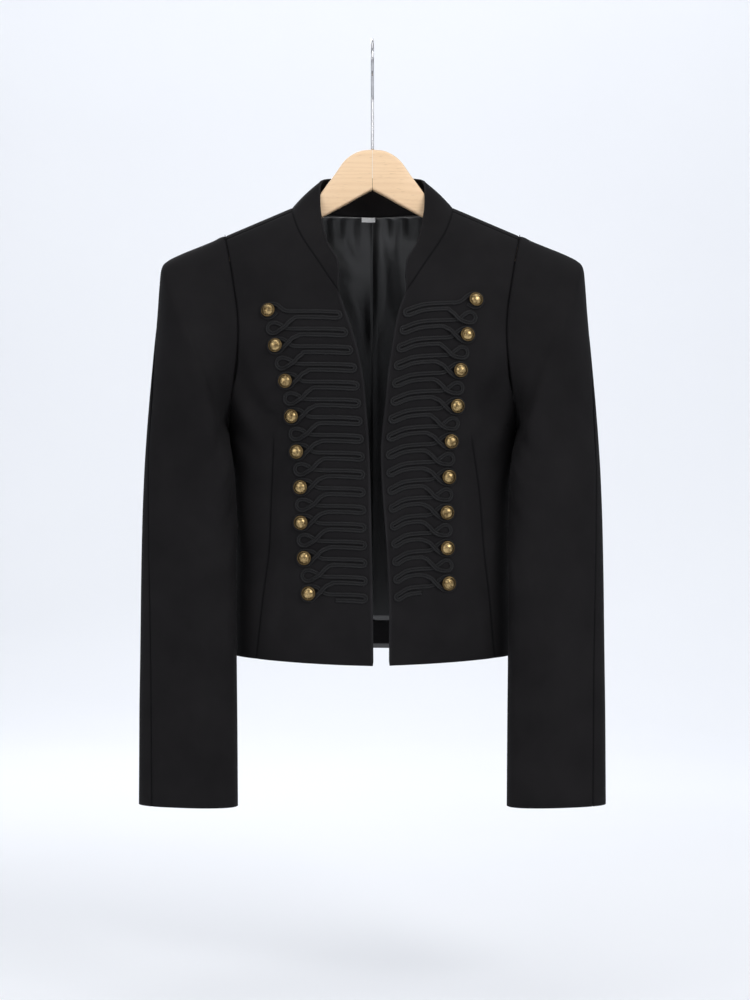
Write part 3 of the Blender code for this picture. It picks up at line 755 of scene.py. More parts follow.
def make_back(wearer):
    """From the seam in front of the shoulder, over its crest and down to the hem."""
    flip = -1 if wearer == "right" else 1
    shares = eased_shares(*BACK_COLUMNS)
    points, heights = [], []
    over = [FRONT_SEAM_ROW * (1 - k / OVER_SHOULDER_ROWS) for k in range(OVER_SHOULDER_ROWS)]
    at_neck = {armhole_row(turn) for turn in range(SHOULDER_SEAM_TURN, NECK_CENTRE_TURN + 1)}
    rows = [(FRONT, row) for row in over]
    rows += [(BACK, row) for row in sorted(at_neck | set(body_rows(0.0)))]
    for side, row in rows:
        if side == FRONT:
            inner, outer = front_inner_x(wearer, row), settle(FRONT, row, armhole_x)
        else:
            inner, outer = back_neck_x(row), settle(BACK, row, armhole_x)
        line, height = [], []
        for s in shares:
            x = inner + (outer - inner) * s
            level = row_level(side, row, x)
            p = on_body(side, x, level)
            line.append((flip * p.x, p.y, p.z))
            height.append(relief(BACK_CREASES[wearer], x, level) if side == BACK else 0.0)
        points.append(line)
        heights.append(height)
    points = draw_in(np.array(points), HALF_GAP, 0, HALF_GAP, HALF_GAP)
    normals = outward_normals(points, BODY_MIDDLE)
    roll = seam_roll(points, SEAM_DEPTH, 0, NECK_ROLL, SEAM_DEPTH)
    points += normals * (np.array(heights) + roll)[..., None]
    # Painted shade beside the seams
    seam = near_edges(points, SEAM_SHADE_REACH, 1, 0, 1, 1)
    name, finishes = f"back_{wearer}_cloth", (suiting, satin)
    return cloth_wall(name, points, normals, BODY_CLOTH, finishes, ("last_row",), seam)


# Sleeves


def armhole_point(turn):
    """Point of the armhole seam on the wearer's left: 0 at the crest, 180 at the underarm."""
    side = FRONT if turn <= 180 else BACK
    level = armhole_level(turn)
    return on_body(side, armhole_x(level), level)


def superellipse(turn, power):
    c, s = math.cos(math.radians(turn)), math.sin(math.radians(turn))
    return math.copysign(abs(c) ** (2 / power), c), math.copysign(abs(s) ** (2 / power), s)


def oval_point(section, turn):
    """Point of a sleeve section: 0 at its outer end, 90 in front, 180 at its inner end."""
    outer = Vector((section[0], section[1], -section[2]))
    inner = Vector((section[3], section[4], -section[5]))
    middle, half = (outer + inner) / 2, (outer - inner) / 2
    direction = half.normalized()
    ahead = Vector((0, -1, 0))
    ahead = (ahead - direction * ahead.dot(direction)).normalized()
    along, across = superellipse(turn, SLEEVE_POWER)
    return middle + direction * half.length * along + ahead * section[6] * across


SLEEVE_INDEX = [(index, *section) for index, section in enumerate(SLEEVE)]


def sleeve_section(place):
    """The sleeve's section at a place between two rows of its table."""
    return [smooth(place, SLEEVE_INDEX, column) for column in range(1, 10)]


# Rows of cloth close to the armhole, and columns of a panel: count, width in mm
FIRST_PLACES = (0, 0.03, 0.07, 0.12, 0.2, 0.3)
SLEEVE_COLUMNS = {"upper": (58, 130), "under": (44, 95)}
# The pad's ridge beside the armhole seam, which fades out between two levels
PAD_HEIGHT, PAD_FROM_SEAM, PAD_REACH, CROWN_ENDS = 0.9, 6, 5, (330, 250)
CREASES_FROM_SEAM = 12


def make_sleeve_panel(wearer, panel):
    flip = -1 if wearer == "right" else 1
    creases = (UPPER_CREASES if panel == "upper" else UNDER_CREASES)[wearer]
    last = len(SLEEVE) - 1
    places = sorted({*FIRST_PLACES} | {k / 9 for k in range(4, 9 * last + 1)})
    shares = steps_with_edges(*SLEEVE_COLUMNS[panel])
    points, heights, middles = [], [], []
    for place in places:
        section = sleeve_section(place)
        spread = min(1, place / SLEEVE_SPREAD_ROWS)
        hind = section[7]
        if panel == "upper":
            tops, ends = (HIND_SEAM_START, FORE_SEAM_START), (hind, FORE_SEAM_TURN)
        else:
            tops, ends = (FORE_SEAM_START, HIND_SEAM_START + 360), (FORE_SEAM_TURN, hind + 360)
        line, height = [], []
        for s in shares:
            top, even = tops[0] + (tops[1] - tops[0]) * s, ends[0] + (ends[1] - ends[0]) * s
            turn = top + (even - top) * spread
            point = oval_point(section, turn)
            if section[8] > 0:
                first = oval_point(SLEEVE[0], turn)
                point += (armhole_point(turn % 360) - first) * section[8]
            line.append((flip * point.x, point.y, point.z))
            height.append(relief(creases, turn, -point.z, SLEEVE_DEGREE))
        points.append(line)
        heights.append(height)
        x, y, level = [(section[k] + section[k + 3]) / 2 for k in range(3)]
        middles.append((flip * x, y, -level))
    points = draw_in(np.array(points), HALF_GAP, 0, HALF_GAP, HALF_GAP)
    normals = outward_normals(points, np.array(middles)[:, None, :])
    roll = seam_roll(points, SEAM_DEPTH, 0, SEAM_DEPTH, SEAM_DEPTH)
    down = distances(points, 0)
    pad = PAD_HEIGHT * np.exp(-(((down - PAD_FROM_SEAM) / PAD_REACH) ** 2))
    crown = np.array([[fade(-p[2], *CROWN_ENDS) for p in row] for row in points])
    height = np.array(heights) * np.clip(down / CREASES_FROM_SEAM, 0, 1) + roll
    if panel == "upper":
        height += pad * crown
    points += normals * height[..., None]
    # Painted shade beside the seams
    seam = near_edges(points, SEAM_SHADE_REACH, 1, 0, 1, 1)
    name, finishes = f"{panel}_sleeve_{wearer}_cloth", (suiting, satin)
    return cloth_wall(name, points, normals, SLEEVE_CLOTH, finishes, ("last_row",), seam)


# Collar, lining and label


NECK_STEPS_FRONT, NECK_STEPS_BACK = 40, 24


def neck_seam():
    """Points of the neck seam from the front corner on the wearer's left to the centre back."""
    points = []
    for k in range(NECK_STEPS_FRONT):
        row = NECK_CORNER * (1 - k / NECK_STEPS_FRONT)
        x = front_inner_x("left", row)
        points.append(on_body(FRONT, x, row_level(FRONT, row, x)))
    for k in range(NECK_STEPS_BACK + 1):
        row = armhole_row(NECK_CENTRE_TURN) * k / NECK_STEPS_BACK
        x = back_neck_x(row)
        points.append(on_body(BACK, x, row_level(BACK, row, x)))
    return points


# The collar's rows: count and height
COLLAR_ROWS = (14, 32)
# The collar's belly, the roll at its base and the ridge along its top edge:
# height, then distance and reach where they have them
COLLAR_BELLY, COLLAR_ROLL, COLLAR_ROLL_REACH = 1.3, 0.3, 1.8
COLLAR_RIDGE, RIDGE_FROM_TOP, RIDGE_REACH = 0.45, 1.8, 1.4


def make_collar():
    seam = neck_seam()
    steps = [0.0]
    for a, b in zip(seam, seam[1:]):
        steps.append(steps[-1] + (b - a).length)
    heights = steps_with_edges(*COLLAR_ROWS)
    half = []
    for point, step in zip(seam, steps):
        share = step / steps[-1]
        x, y, level = (smooth(share, COLLAR_TOP, column) for column in (1, 2, 3))
        top = Vector((x, y, -level))
        low = point - (top - point).normalized() * COLLAR_TUCK
        past = min(1, step / COLLAR_CORNER)
        tall = (top - low).length
        high = 1 - COLLAR_CORNER / tall * (1 - math.sqrt(1 - (1 - past) ** 2))
        half.append([low.lerp(top, s * high) for s in heights])
    other = [[Vector((-p.x, p.y, p.z)) for p in column] for column in half[:-1]]
    points = np.array([[tuple(p) for p in column] for column in half + other[::-1]])
    normals = outward_normals(points, NECK_MIDDLE)
    up = distances(points, 1)
    tall = up[:, -1:]
    height = COLLAR_BELLY * np.sin(np.pi * np.clip(up / tall, 0, 1))
    height -= COLLAR_ROLL * np.exp(-((up / COLLAR_ROLL_REACH) ** 2))
    height += COLLAR_RIDGE * np.exp(-(((tall - up - RIDGE_FROM_TOP) / RIDGE_REACH) ** 2))
    points += normals * height[..., None]
    hems = ("last_column", "first_row", "last_row")
    # Painted shade along the collar's base seam
    seam = np.exp(-(((up - COLLAR_TUCK) / SEAM_SHADE_REACH) ** 2))
    # Lighter colour along the collar's free edges: partly edge wear, partly a painted highlight
    worn = near_edges(points, EDGE_WEAR_AND_HIGHLIGHT_REACH, 1, 1, 0, 1)
    finishes = (suiting, suiting)
    return cloth_wall("collar_cloth", points, normals, COLLAR_CLOTH, finishes, hems, seam, worn)


# Gathers of the lining below its top seam: place across, half width, height
LINING_GATHERS = (
    (-52, 4.0, 1.3),
    (-43, 3.0, -1.1),
    (-37, 3.5, 1.5),
    (-29, 2.8, -1.2),
    (-22, 4.2, 0.9),
    (-13, 3.0, -0.8),
    (9, 3.4, 1.0),
    (16, 3.0, -1.0),
    (24, 4.0, 1.4),
    (33, 3.2, -1.1),
    (41, 3.6, 1.2),
    (50, 3.2, -0.9),
)
LINING_CREASES = (
    (-58, 196, -30, 300, 13.0, 3.0, -8),
    (6, 200, 2, 330, 9.0, 2.4, 5),
    (38, 204, 52, 330, 13.0, -2.6, 5),
    (-50, 205, -18, 262, 9.0, -1.6, 6),
    (-60, 232, -6, 250, 8.0, 1.3, -5),
    (-30, 262, -8, 340, 9.0, -1.2, 4),
    (10, 214, 30, 330, 10.0, 1.4, -5),
    (34, 206, 44, 320, 9.0, -1.4, 4),
    (-14, 330, -20, 560, 9.0, 1.0, 5),
    (18, 360, 12, 600, 8.0, -1.0, -4),
    (-70, 300, -50, 600, 16.0, 1.1, 6),
    (60, 280, 74, 590, 15.0, -1.1, 5),
    (-4, 250, 2, 420, 5.0, 0.9, 2),
)


def lining_row(high, low, share_down, shares):
    """One row across the lining or the hem below it, from side to side."""
    row = []
    for share in shares:
        top = high
        for _ in range(20):
            x = share * (armhole_x(top + (low - top) * share_down) - LINING_SIDE)
            top = max(high, crest_level(x) + LINING_BELOW_CREST)
        level = top + (low - top) * share_down
        row.append(tuple(on_body(BACK, x, level, BODY_CLOTH + LINING_CLEAR)))
    return row


# The lining's columns a side and rows, which crowd to the sides and to the top
LINING_COLUMNS, LINING_ROWS, LINING_CROWD = 60, 90, 1.25
# Gathers fade out this far below the top seam; the centre seam's groove: depth, x, reach
GATHER_FADE, GATHER_POWER, GATHER_START = 26, 1.3, 3
CENTRE_GROOVE = (0.7, 0.6, 1.3)
LINING_CREASE_SHARE, LINING_LIFT, LINING_LIMITS = 0.8, 0.2, (-1.2, 3.0)


def shares_both_ways(count):
    return [math.sin(math.pi / 2 * k / count) for k in range(-count, count + 1)]


def make_lining():
    shares = sorted({*shares_both_ways(LINING_COLUMNS), -0.006, 0.006})
    downs = [(k / LINING_ROWS) ** LINING_CROWD for k in range(LINING_ROWS + 1)]
    groove, groove_x, groove_reach = CENTRE_GROOVE
    points = np.array([lining_row(LINING_TOP, LINING_HEM, down, shares) for down in downs])
    below = distances(points, 0)
    heights = []
    for i, row in enumerate(points):
        line = []
        for k, (x, _, z) in enumerate(row):
            fall = math.exp(-((below[i, k] / GATHER_FADE) ** GATHER_POWER))
            fall *= fade(below[i, k], 0, GATHER_START)
            gather = sum(h * math.exp(-(((x - at) / w) ** 2)) for at, w, h in LINING_GATHERS)
            seam = groove * math.exp(-(((x - groove_x) / groove_reach) ** 2))
            creases = LINING_CREASE_SHARE * relief(LINING_CREASES, x, -z)
            line.append(gather * fall - seam + creases)
        heights.append(line)
    towards = -outward_normals(points, BODY_MIDDLE)
    height = np.clip(np.array(heights), *LINING_LIMITS) + LINING_LIFT
    points += towards * height[..., None]
    return cloth_wall("back_lining_satin", points, towards, LINING_CLOTH, (satin, satin))


FACING_CLOTH, FACING_LIFT, FACING_ROLL = 0.8, 0.5, 0.3
FACING_COLUMNS, FACING_ROWS = 48, (8, 26)


def make_facing():
    shares, downs = shares_both_ways(FACING_COLUMNS), steps_with_edges(*FACING_ROWS)
    low = LINING_HEM + SEAM_GAP
    points = np.array([lining_row(low, FACING_HEM, down, shares) for down in downs])
    towards = -outward_normals(points, BODY_MIDDLE)
    points += towards * (FACING_LIFT + seam_roll(points, FACING_ROLL, FACING_ROLL))[..., None]
    name, finishes = "back_hem_facing_cloth", (suiting, suiting)
    return cloth_wall(name, points, towards, FACING_CLOTH, finishes, ("last_row",))


# From the body's surface to the label's hind side; the label's edges bow down this much
LABEL_INSET = BODY_CLOTH + LINING_CLEAR + LINING_CLOTH + LABEL_CLEAR
LABEL_BOW = 0.25


def make_label():
    """A tape folded once at its lower end, with both ends in the neck seam."""
    path = [(LABEL_HEIGHT * k / 8, LABEL_FOLD) for k in range(9)]
    for turn in (30, 60, 90, 120, 150):
        c, s = math.cos(math.radians(turn)), math.sin(math.radians(turn))
        path.append((LABEL_HEIGHT + LABEL_FOLD / 2 * s, LABEL_FOLD / 2 * (1 + c)))
    path += [(LABEL_HEIGHT * k / 8, 0.0) for k in range(8, -1, -1)]
    points = []
    for down, ahead in path:
        row = []
        for across in steps_with_edges(16, LABEL_WIDTH, THIN_EDGE_STEPS):
            x = LABEL_X + LABEL_WIDTH * (across - 0.5)
            level = LABEL_TOP + down + LABEL_BOW * math.sin(math.pi * across)
            row.append(tuple(on_body(BACK, x, level, LABEL_INSET + ahead)))
        points.append(row)
    points = np.array(points)
    normals = outward_normals(points, points.mean(axis=0, keepdims=True))
    return cloth_wall("label_tape", points, normals, LABEL_THICK, (tape, tape))


# Braid and buttons


# Distance over which a direction on the cloth is taken
NEARBY = 0.5


def dressed(wearer, x, level):
    """Point of the front with its creases, and the outward direction there."""
    flip = -1 if wearer == "right" else 1

    def point(at, down):
        return on_body(FRONT, at, down)

    e = NEARBY
    across = point(x + e, level) - point(x - e, level)
    down = point(x, level + e) - point(x, level - e)
    normal = across.cross(down).normalized()
    if normal.y > 0:
        normal = -normal
    place = point(x, level) + normal * front_relief(wearer, abs(x), level)
    return Vector((flip * place.x, place.y, place.z)), Vector((flip * normal.x, normal.y, normal.z))


def button_level(wearer, number):
    first, last, _ = BUTTONS[wearer]
    return first + (last - first) * number / (len(BUTTONS[wearer][2]) - 1)


def column_x(wearer, number):
    rows = [(k, x) for k, x in enumerate(BUTTONS[wearer][2])]
    return smooth(number, rows, 1)


def braid_route(wearer):
    """The braid's route on one front: distance from the centre line, level, lift."""
    edge_column = 1 if wearer == "right" else 2
    sign = -1 if wearer == "right" else 1
    drop_column, drop_edge = HAIRPIN_DROP[wearer]
    pitch = (button_level(wearer, 1) - button_level(wearer, 0)) / 2
    route = []
    for row in range(ROWS_OF_BRAID):
        round_button = row % 2 == 0
        radius, inboard, crossing, rise = BUTTON_LOOP if round_button else SMALL_LOOP
        strands = BUTTON_STRANDS if round_button else SMALL_STRANDS
        column = column_x(wearer, row / 2)
        middle = button_level(wearer, 0) + pitch * row
        leg_level = middle + drop_column
        cross_x, cross_level = column - crossing, leg_level - LEG_APART - rise
        coming, past, leaving, away = [(cross_x - x, cross_level + down) for x, down in strands]
        if row:
            bend_level = leg_level - pitch + LEG_APART + LEG_DROP
            route.append((cross_x - LEG_BEND, bend_level, 0))
            route.append((*coming, BRAID_LIFT))
            route.append((cross_x, cross_level, BRAID_LIFT))
        route.append((*past, BRAID_LIFT if row else 0))
        for turn in LOOP_TURNS:
            c, s = math.cos(math.radians(turn)), math.sin(math.radians(turn))
            route.append((column - inboard + radius * c, middle + radius * s, 0))
        route += [(*leaving, 0), (cross_x, cross_level, 0), (*away, 0)]
        end_level = middle + drop_edge
        end_x = sign * smooth(end_level, FRONT_EDGES, edge_column) + EDGE_MARGIN
        leg_x, bend_x = cross_x - LEG_START, end_x + LEG_APART
        leg = []
        for share in LEG_SHARES:
            level = leg_level + (end_level - leg_level) * share**LEG_SAG
            leg.append((leg_x + (bend_x - leg_x) * share, level))
        route += [(x, level - LEG_APART, 0) for x, level in leg]
        for turn in (45, 90, 135):
            c, s = math.cos(math.radians(turn)), math.sin(math.radians(turn))
            route.append((bend_x - LEG_APART * s, end_level - LEG_APART * c, 0))
        route += [(x, level + LEG_APART, 0) for x, level in reversed(leg)]
    return route


def even_curve(route, step):
    """Points a step apart along a smooth curve through a route."""
    knots = [Vector(p) for p in route]
    dense, parts = [], 12
    for i in range(len(knots) - 1):
        before = knots[max(i - 1, 0)]
        after = knots[min(i + 2, len(knots) - 1)]
        a, b = knots[i], knots[i + 1]
        span = (b - a).length
        slope_a = (b - before) / max((b - a).length + (a - before).length, 1e-6) * span
        slope_b = (after - a) / max((after - b).length + (b - a).length, 1e-6) * span
        for k in range(parts):
            f = k / parts
            dense.append(
                a * (2 * f**3 - 3 * f**2 + 1)
                + slope_a * (f**3 - 2 * f**2 + f)
                + b * (3 * f**2 - 2 * f**3)
                + slope_b * (f**3 - f**2)
            )
    dense.append(knots[-1])
    lengths = [0.0]
    for a, b in zip(dense, dense[1:]):
        lengths.append(lengths[-1] + (b - a).length)
    count = int(lengths[-1] / step)
    points, i = [], 0
    for k in range(count + 1):
        want = lengths[-1] * k / count
        while i < len(lengths) - 2 and lengths[i + 1] < want:
            i += 1
        f = (want - lengths[i]) / max(lengths[i + 1] - lengths[i], SMALLEST)
        points.append(dense[i].lerp(dense[i + 1], f))
    return points


def relaxed(points, passes):
    """The same route with its kinks eased; the lift over a crossing stays."""
    for _ in range(passes):
        eased = [(a + b) / 4 + p / 2 for a, p, b in zip(points, points[1:], points[2:])]
        points = [points[0], *eased, points[-1]]
    return points


def tube_faces(rings, sides):
    """Faces of a tube of rings, closed at both ends."""
    faces = []
    for i in range(rings - 1):
        for k in range(sides):
            a, b = sides * i + k, sides * i + (k + 1) % sides
            faces.append((a, b, b + sides, a + sides))
    end = sides * (rings - 1)
    return faces + [tuple(range(sides))[::-1], tuple(range(end, end + sides))]


def sweep(name, middles, ups, section, finish):
    """A tube of the given section along middles, closed at both ends."""
    sides = len(section)
    vertices, weave, length = [], [], 0.0
    for i, (middle, up) in enumerate(zip(middles, ups)):
        before, after = middles[max(i - 1, 0)], middles[min(i + 1, len(middles) - 1)]
        side = up.cross(after - before).normalized()
        length += (middle - before).length
        for k, (across, height) in enumerate(section):
            vertices.append(tuple(middle + side * across + up * height))
            weave.append((length, across))
    return add_mesh(name, vertices, tube_faces(len(middles), sides), (finish,), weave)


def make_braid(wearer):
    middles, ups = [], []
    for p in relaxed(even_curve(braid_route(wearer), BRAID_STEP), BRAID_EASING):
        place, up = dressed(wearer, p.x, p.y)
        middles.append(place + up * (BRAID_GAP + max(0.0, p.z)))
        ups.append(up)
    section = tuple((across * BRAID_WIDTH, height) for across, height in BRAID_SECTION)
    return sweep(f"braid_{wearer}_soutache", middles, ups, section, soutache)


def turned_profile(name, profile, sides, finish):
    """A small turned piece about its own Z, in metres, whose weave map is turn and radius."""
    vertices, weave, faces = [], [], []
    for radius, height in profile[1:-1]:
        for k in range(sides):
            angle = 2 * math.pi * k / sides
            vertices.append((radius * math.cos(angle), radius * math.sin(angle), height))
            weave.append((k * 0.5, radius))
    top, bottom = len(vertices), len(vertices) + 1
    vertices += [(0, 0, profile[0][1]), (0, 0, profile[-1][1])]
    weave += [(0, 0), (0, 0)]
    rings = len(profile) - 2
    for i in range(rings - 1):
        for k in range(sides):
            a, b = sides * i + k, sides * i + (k + 1) % sides
            faces.append((a, a + sides, b + sides, b))
    for k in range(sides):
        faces.append((top, k, (k + 1) % sides))
        last = sides * (rings - 1)
        faces.append((bottom, last + (k + 1) % sides, last + k))
    return add_mesh(name, vertices, faces, (finish,), weave)


def copies_tree():
    """Geometry Nodes: a copy of a small piece on every point, standing up along its direction."""
    tree = bpy.data.node_groups.new("copies on points", "GeometryNodeTree")
    new = tree.interface.new_socket
    new(name="Geometry", in_out="INPUT", socket_type="NodeSocketGeometry")
    new(name="Copied piece", in_out="INPUT", socket_type="NodeSocketObject")
    new(name="Finish", in_out="INPUT", socket_type="NodeSocketMaterial")
    new(name="Geometry", in_out="OUTPUT", socket_type="NodeSocketGeometry")
    add = tree.nodes.new
    start, end = add("NodeGroupInput"), add("NodeGroupOutput")
    copied, up = add("GeometryNodeObjectInfo"), add("GeometryNodeInputNamedAttribute")
    along = add("GeometryNodeInputNamedAttribute")
    for node, name in ((up, "up"), (along, "along")):
        node.data_type = "FLOAT_VECTOR"
        node.inputs["Name"].default_value = name
    stand, aim = add("FunctionNodeAlignRotationToVector"), add("FunctionNodeAlignRotationToVector")
    stand.axis, aim.axis, aim.pivot_axis = "Z", "X", "Z"
    on_points, real = add("GeometryNodeInstanceOnPoints"), add("GeometryNodeRealizeInstances")
    finish = add("GeometryNodeSetMaterial")
    link = tree.links.new
    link(start.outputs["Copied piece"], copied.inputs["Object"])
    link(up.outputs["Attribute"], stand.inputs["Vector"])
    link(stand.outputs["Rotation"], aim.inputs["Rotation"])
    link(along.outputs["Attribute"], aim.inputs["Vector"])
    link(start.outputs["Geometry"], on_points.inputs["Points"])
    link(copied.outputs["Geometry"], on_points.inputs["Instance"])
    link(aim.outputs["Rotation"], on_points.inputs["Rotation"])
    link(on_points.outputs["Instances"], real.inputs["Geometry"])
    link(real.outputs["Geometry"], finish.inputs["Geometry"])
    link(start.outputs["Finish"], finish.inputs["Material"])
    link(finish.outputs["Geometry"], end.inputs["Geometry"])
    return tree


def copies(name, piece, places, finish):
    """One plain mesh of copies of a piece, at (point, up, along) places in millimetres."""
    mesh = bpy.data.meshes.new(name)
    mesh.from_pydata([tuple(point * MM) for point, _, _ in places], [], [])
    for label, k in (("up", 1), ("along", 2)):
        layer = mesh.attributes.new(label, "FLOAT_VECTOR", "POINT")
        layer.data.foreach_set("vector", [c for place in places for c in place[k]])
    holder = bpy.data.objects.new(name, mesh)
    bpy.context.scene.collection.objects.link(holder)
    modifier = holder.modifiers.new("copies", "NODES")
    modifier.node_group = COPIES
    sockets = {i.name: i.identifier for i in COPIES.interface.items_tree if i.in_out == "INPUT"}
    modifier[sockets["Copied piece"]] = piece
    modifier[sockets["Finish"]] = finish
    bpy.context.view_layer.update()
    graph = bpy.context.evaluated_depsgraph_get()
    made = bpy.data.meshes.new_from_object(holder.evaluated_get(graph), depsgraph=graph)
    made.name = name
    bpy.data.objects.remove(holder)
    for label in ("up", "along"):
        if label in made.attributes:
            made.attributes.remove(made.attributes[label])
    obj = bpy.data.objects.new(name, made)
    bpy.context.scene.collection.objects.link(obj)
    made.shade_smooth()
    return obj


# Each button is turned by so much more than the one above it, and the left ones by more
BUTTON_TURN, LEFT_BUTTON_TURN = 0.9, 0.4


def make_buttons(wearer):
    places = []
    for number in range(len(BUTTONS[wearer][2])):
        x, level = column_x(wearer, number), button_level(wearer, number)
        place, up = dressed(wearer, x, level)
        turn = BUTTON_TURN * number + (LEFT_BUTTON_TURN if wearer == "left" else 0)
        along = Vector((math.cos(turn), 0, math.sin(turn)))
        places.append((place, up, (along - up * along.dot(up)).normalized()))
    master = turned_profile("button_master", BUTTON_PROFILE, BUTTON_SIDES, brass)
    buttons = copies(f"buttons_{wearer}", master, places, brass)
    bpy.data.objects.remove(master)
    return buttons


# Hanger


# The hanger's tip rounds off from here, over this length, to these shares of its section
TIP_START, TIP_LENGTH, TIP_HALF, TIP_TALL = 197, 5.6, 0.55, 0.72
MOST_ROUNDING = 0.7


def make_wood(wearer):
    flip = -1 if wearer == "right" else 1
    xs = [0.15, 0.6] + [k * 3.0 for k in range(1, 65)] + [194, 196, 198, 199.5, 200.8, 201.6, 202]
    rings = []
    for x in xs:
        top, bottom, half = (smooth(x, HANGER, column) for column in (1, 2, 3))
        tip = math.sqrt(max(0.0, 1 - max(0, (x - TIP_START) / TIP_LENGTH) ** 2))
        half = half * (TIP_HALF + (1 - TIP_HALF) * tip)
        tall = (bottom - top) / 2 * (TIP_TALL + (1 - TIP_TALL) * tip)
        round_by = min(WOOD_ROUNDING, half * MOST_ROUNDING)
        ring = []
        for y_side, z_side, start in ((1, 1, 0), (-1, 1, 90), (-1, -1, 180), (1, -1, 270)):
            for k in range(7):
                angle = math.radians(start + 15 * k)
                y = y_side * (half - round_by) + round_by * math.cos(angle)
                z = z_side * (tall - round_by) + round_by * math.sin(angle)
                ring.append((flip * x, y, z - (top + bottom) / 2))
        rings.append(ring)
    vertices = [p for ring in rings for p in ring]
    weave = [(x, y + z) for x, ring in zip(xs, rings) for _, y, z in ring]
    faces = tube_faces(len(rings), len(rings[0]))
    if flip < 0:
        faces = [face[::-1] for face in faces]
    return add_mesh(f"hanger_wood_{wearer}", vertices, faces, (wood,), weave)


def make_hook():
    radius = HOOK_INNER_RADIUS + WIRE_DIAMETER / 2
    route = [(0, y, -level) for y, level in HOOK_STEM]
    for turn in range(HOOK_FROM, HOOK_TO - 1, -5):
        angle = math.radians(turn)
        y, z = -radius * math.sin(angle), -HOOK_INNER_RADIUS + radius * math.cos(angle)
        route.append((0, y, z))
    middles = even_curve(route, WIRE_STEP)
    section = []
    for k in range(WIRE_SIDES):
        angle = -2 * math.pi * k / WIRE_SIDES
        section.append((WIRE_DIAMETER / 2 * math.sin(angle), WIRE_DIAMETER / 2 * math.cos(angle)))
    ups = []
    for i, middle in enumerate(middles):
        along = middles[min(i + 1, len(middles) - 1)] - middles[max(i - 1, 0)]
        ups.append(along.cross(Vector((1, 0, 0))).normalized())
    return sweep("hook_wire", middles, ups, tuple(section), steel)


# Stitches


# Five sides; rise and sink in thicknesses of the thread
STITCH_ANGLES = (0.0, 1.26, 2.51, 3.77, 5.03)
STITCH_RISE, STITCH_SINK = 2.2, 0.9


def stitch_master(name, length, thick):
    """One short stitch, a few-sided thread that dips in at both ends."""
    section = [(thick * math.cos(a), thick * math.sin(a)) for a in STITCH_ANGLES]
    middles = []
    for f in (0, 0.25, 0.5, 0.75, 1):
        height = thick * (STITCH_RISE * math.sin(math.pi * f) - STITCH_SINK)
        middles.append(Vector((length * (f - 0.5), 0, height)))
    ups = [Vector((0, 0, 1))] * len(middles)
    return sweep(name, middles, ups, tuple(section), thread)


def stitches(name, rows, length, pitch, thick, finish):
    """Stitches along rows of (point, outward direction) on a piece."""
    places = []
    for row in rows:
        travelled = 0.0
        for (a, up), (b, _) in zip(row, row[1:]):
            span = (b - a).length
            while travelled <= span:
                f = travelled / span
                along = (b - a).normalized()
                places.append((a.lerp(b, f), up, (along - up * along.dot(up)).normalized()))
                travelled += pitch
            travelled -= span
    master = stitch_master(name + "_master", length, thick)
    made = copies(name, master, places, finish)
    bpy.data.objects.remove(master)
    return made


# How far the lining's direction turns sideways, for each millimetre from the middle
LINING_TURN = 0.25 / 80


def inside_row(level, half, clear, count=60):
    """A row of places on the lining's visible side, with the direction towards the wearer."""
    row = []
    for k in range(count + 1):
        x = 2 * half * k / count - half
        point = on_body(BACK, x, level, BODY_CLOTH + LINING_CLEAR + clear)
        row.append((point, Vector((-LINING_TURN * x, -1, 0)).normalized()))
    return row


# Label's stitches: share of its width from the middle, distance from its ends
LABEL_STITCH_SHARE, LABEL_STITCH_MARGIN = 0.46, 0.6


def label_rows():
    rows = []
    for across in (-LABEL_STITCH_SHARE, LABEL_STITCH_SHARE):
        row = []
        for k in range(7):
            level = LABEL_TOP + LABEL_STITCH_MARGIN
            level += (LABEL_HEIGHT - 2 * LABEL_STITCH_MARGIN) * k / 6
            x = LABEL_X + LABEL_WIDTH * across
            point = on_body(BACK, x, level, LABEL_INSET + LABEL_FOLD)
            row.append((point, Vector((0, -1, 0))))
        rows.append(row)
    return rows


# Finishes


def group(name, inputs, outputs):
    """A shader node group with its named sockets, its input node and its output node."""
    tree = bpy.data.node_groups.new(name, "ShaderNodeTree")
    for label, kind, value in inputs:
        socket = tree.interface.new_socket(name=label, in_out="INPUT", socket_type=kind)
        if value is not None:
            socket.default_value = value
    for label, kind in outputs:
        tree.interface.new_socket(name=label, in_out="OUTPUT", socket_type=kind)
    return tree, tree.nodes.new("NodeGroupInput"), tree.nodes.new("NodeGroupOutput")


FLOAT, VECTOR = "NodeSocketFloat", "NodeSocketVector"


def maths(tree, operation, a, b=None, c=None, clamp=False):
    """A Math node; sources may be sockets or numbers."""
    node = tree.nodes.new("ShaderNodeMath")
    node.operation, node.use_clamp = operation, clamp
    for socket, source in zip(node.inputs, (a, b, c)):
        if source is None:
            continue
        if isinstance(source, bpy.types.NodeSocket):
            tree.links.new(source, socket)
        else:
            socket.default_value = source
    return node.outputs[0]


def noise(tree, where, scale, detail=2.0, roughness=0.5):
    node = tree.nodes.new("ShaderNodeTexNoise")
    tree.links.new(where, node.inputs["Vector"])
    if isinstance(scale, bpy.types.NodeSocket):
        tree.links.new(scale, node.inputs["Scale"])
    else:
        node.inputs["Scale"].default_value = scale
    node.inputs["Detail"].default_value = detail
    node.inputs["Roughness"].default_value = roughness
    return node.outputs["Fac"]


def mapped(tree, value, low, high, to_low=0.0, to_high=1.0):
    node = tree.nodes.new("ShaderNodeMapRange")
    tree.links.new(value, node.inputs["Value"])
    limits = {"From Min": low, "From Max": high, "To Min": to_low, "To Max": to_high}
    for label, number in limits.items():
        node.inputs[label].default_value = number
    return node.outputs["Result"]


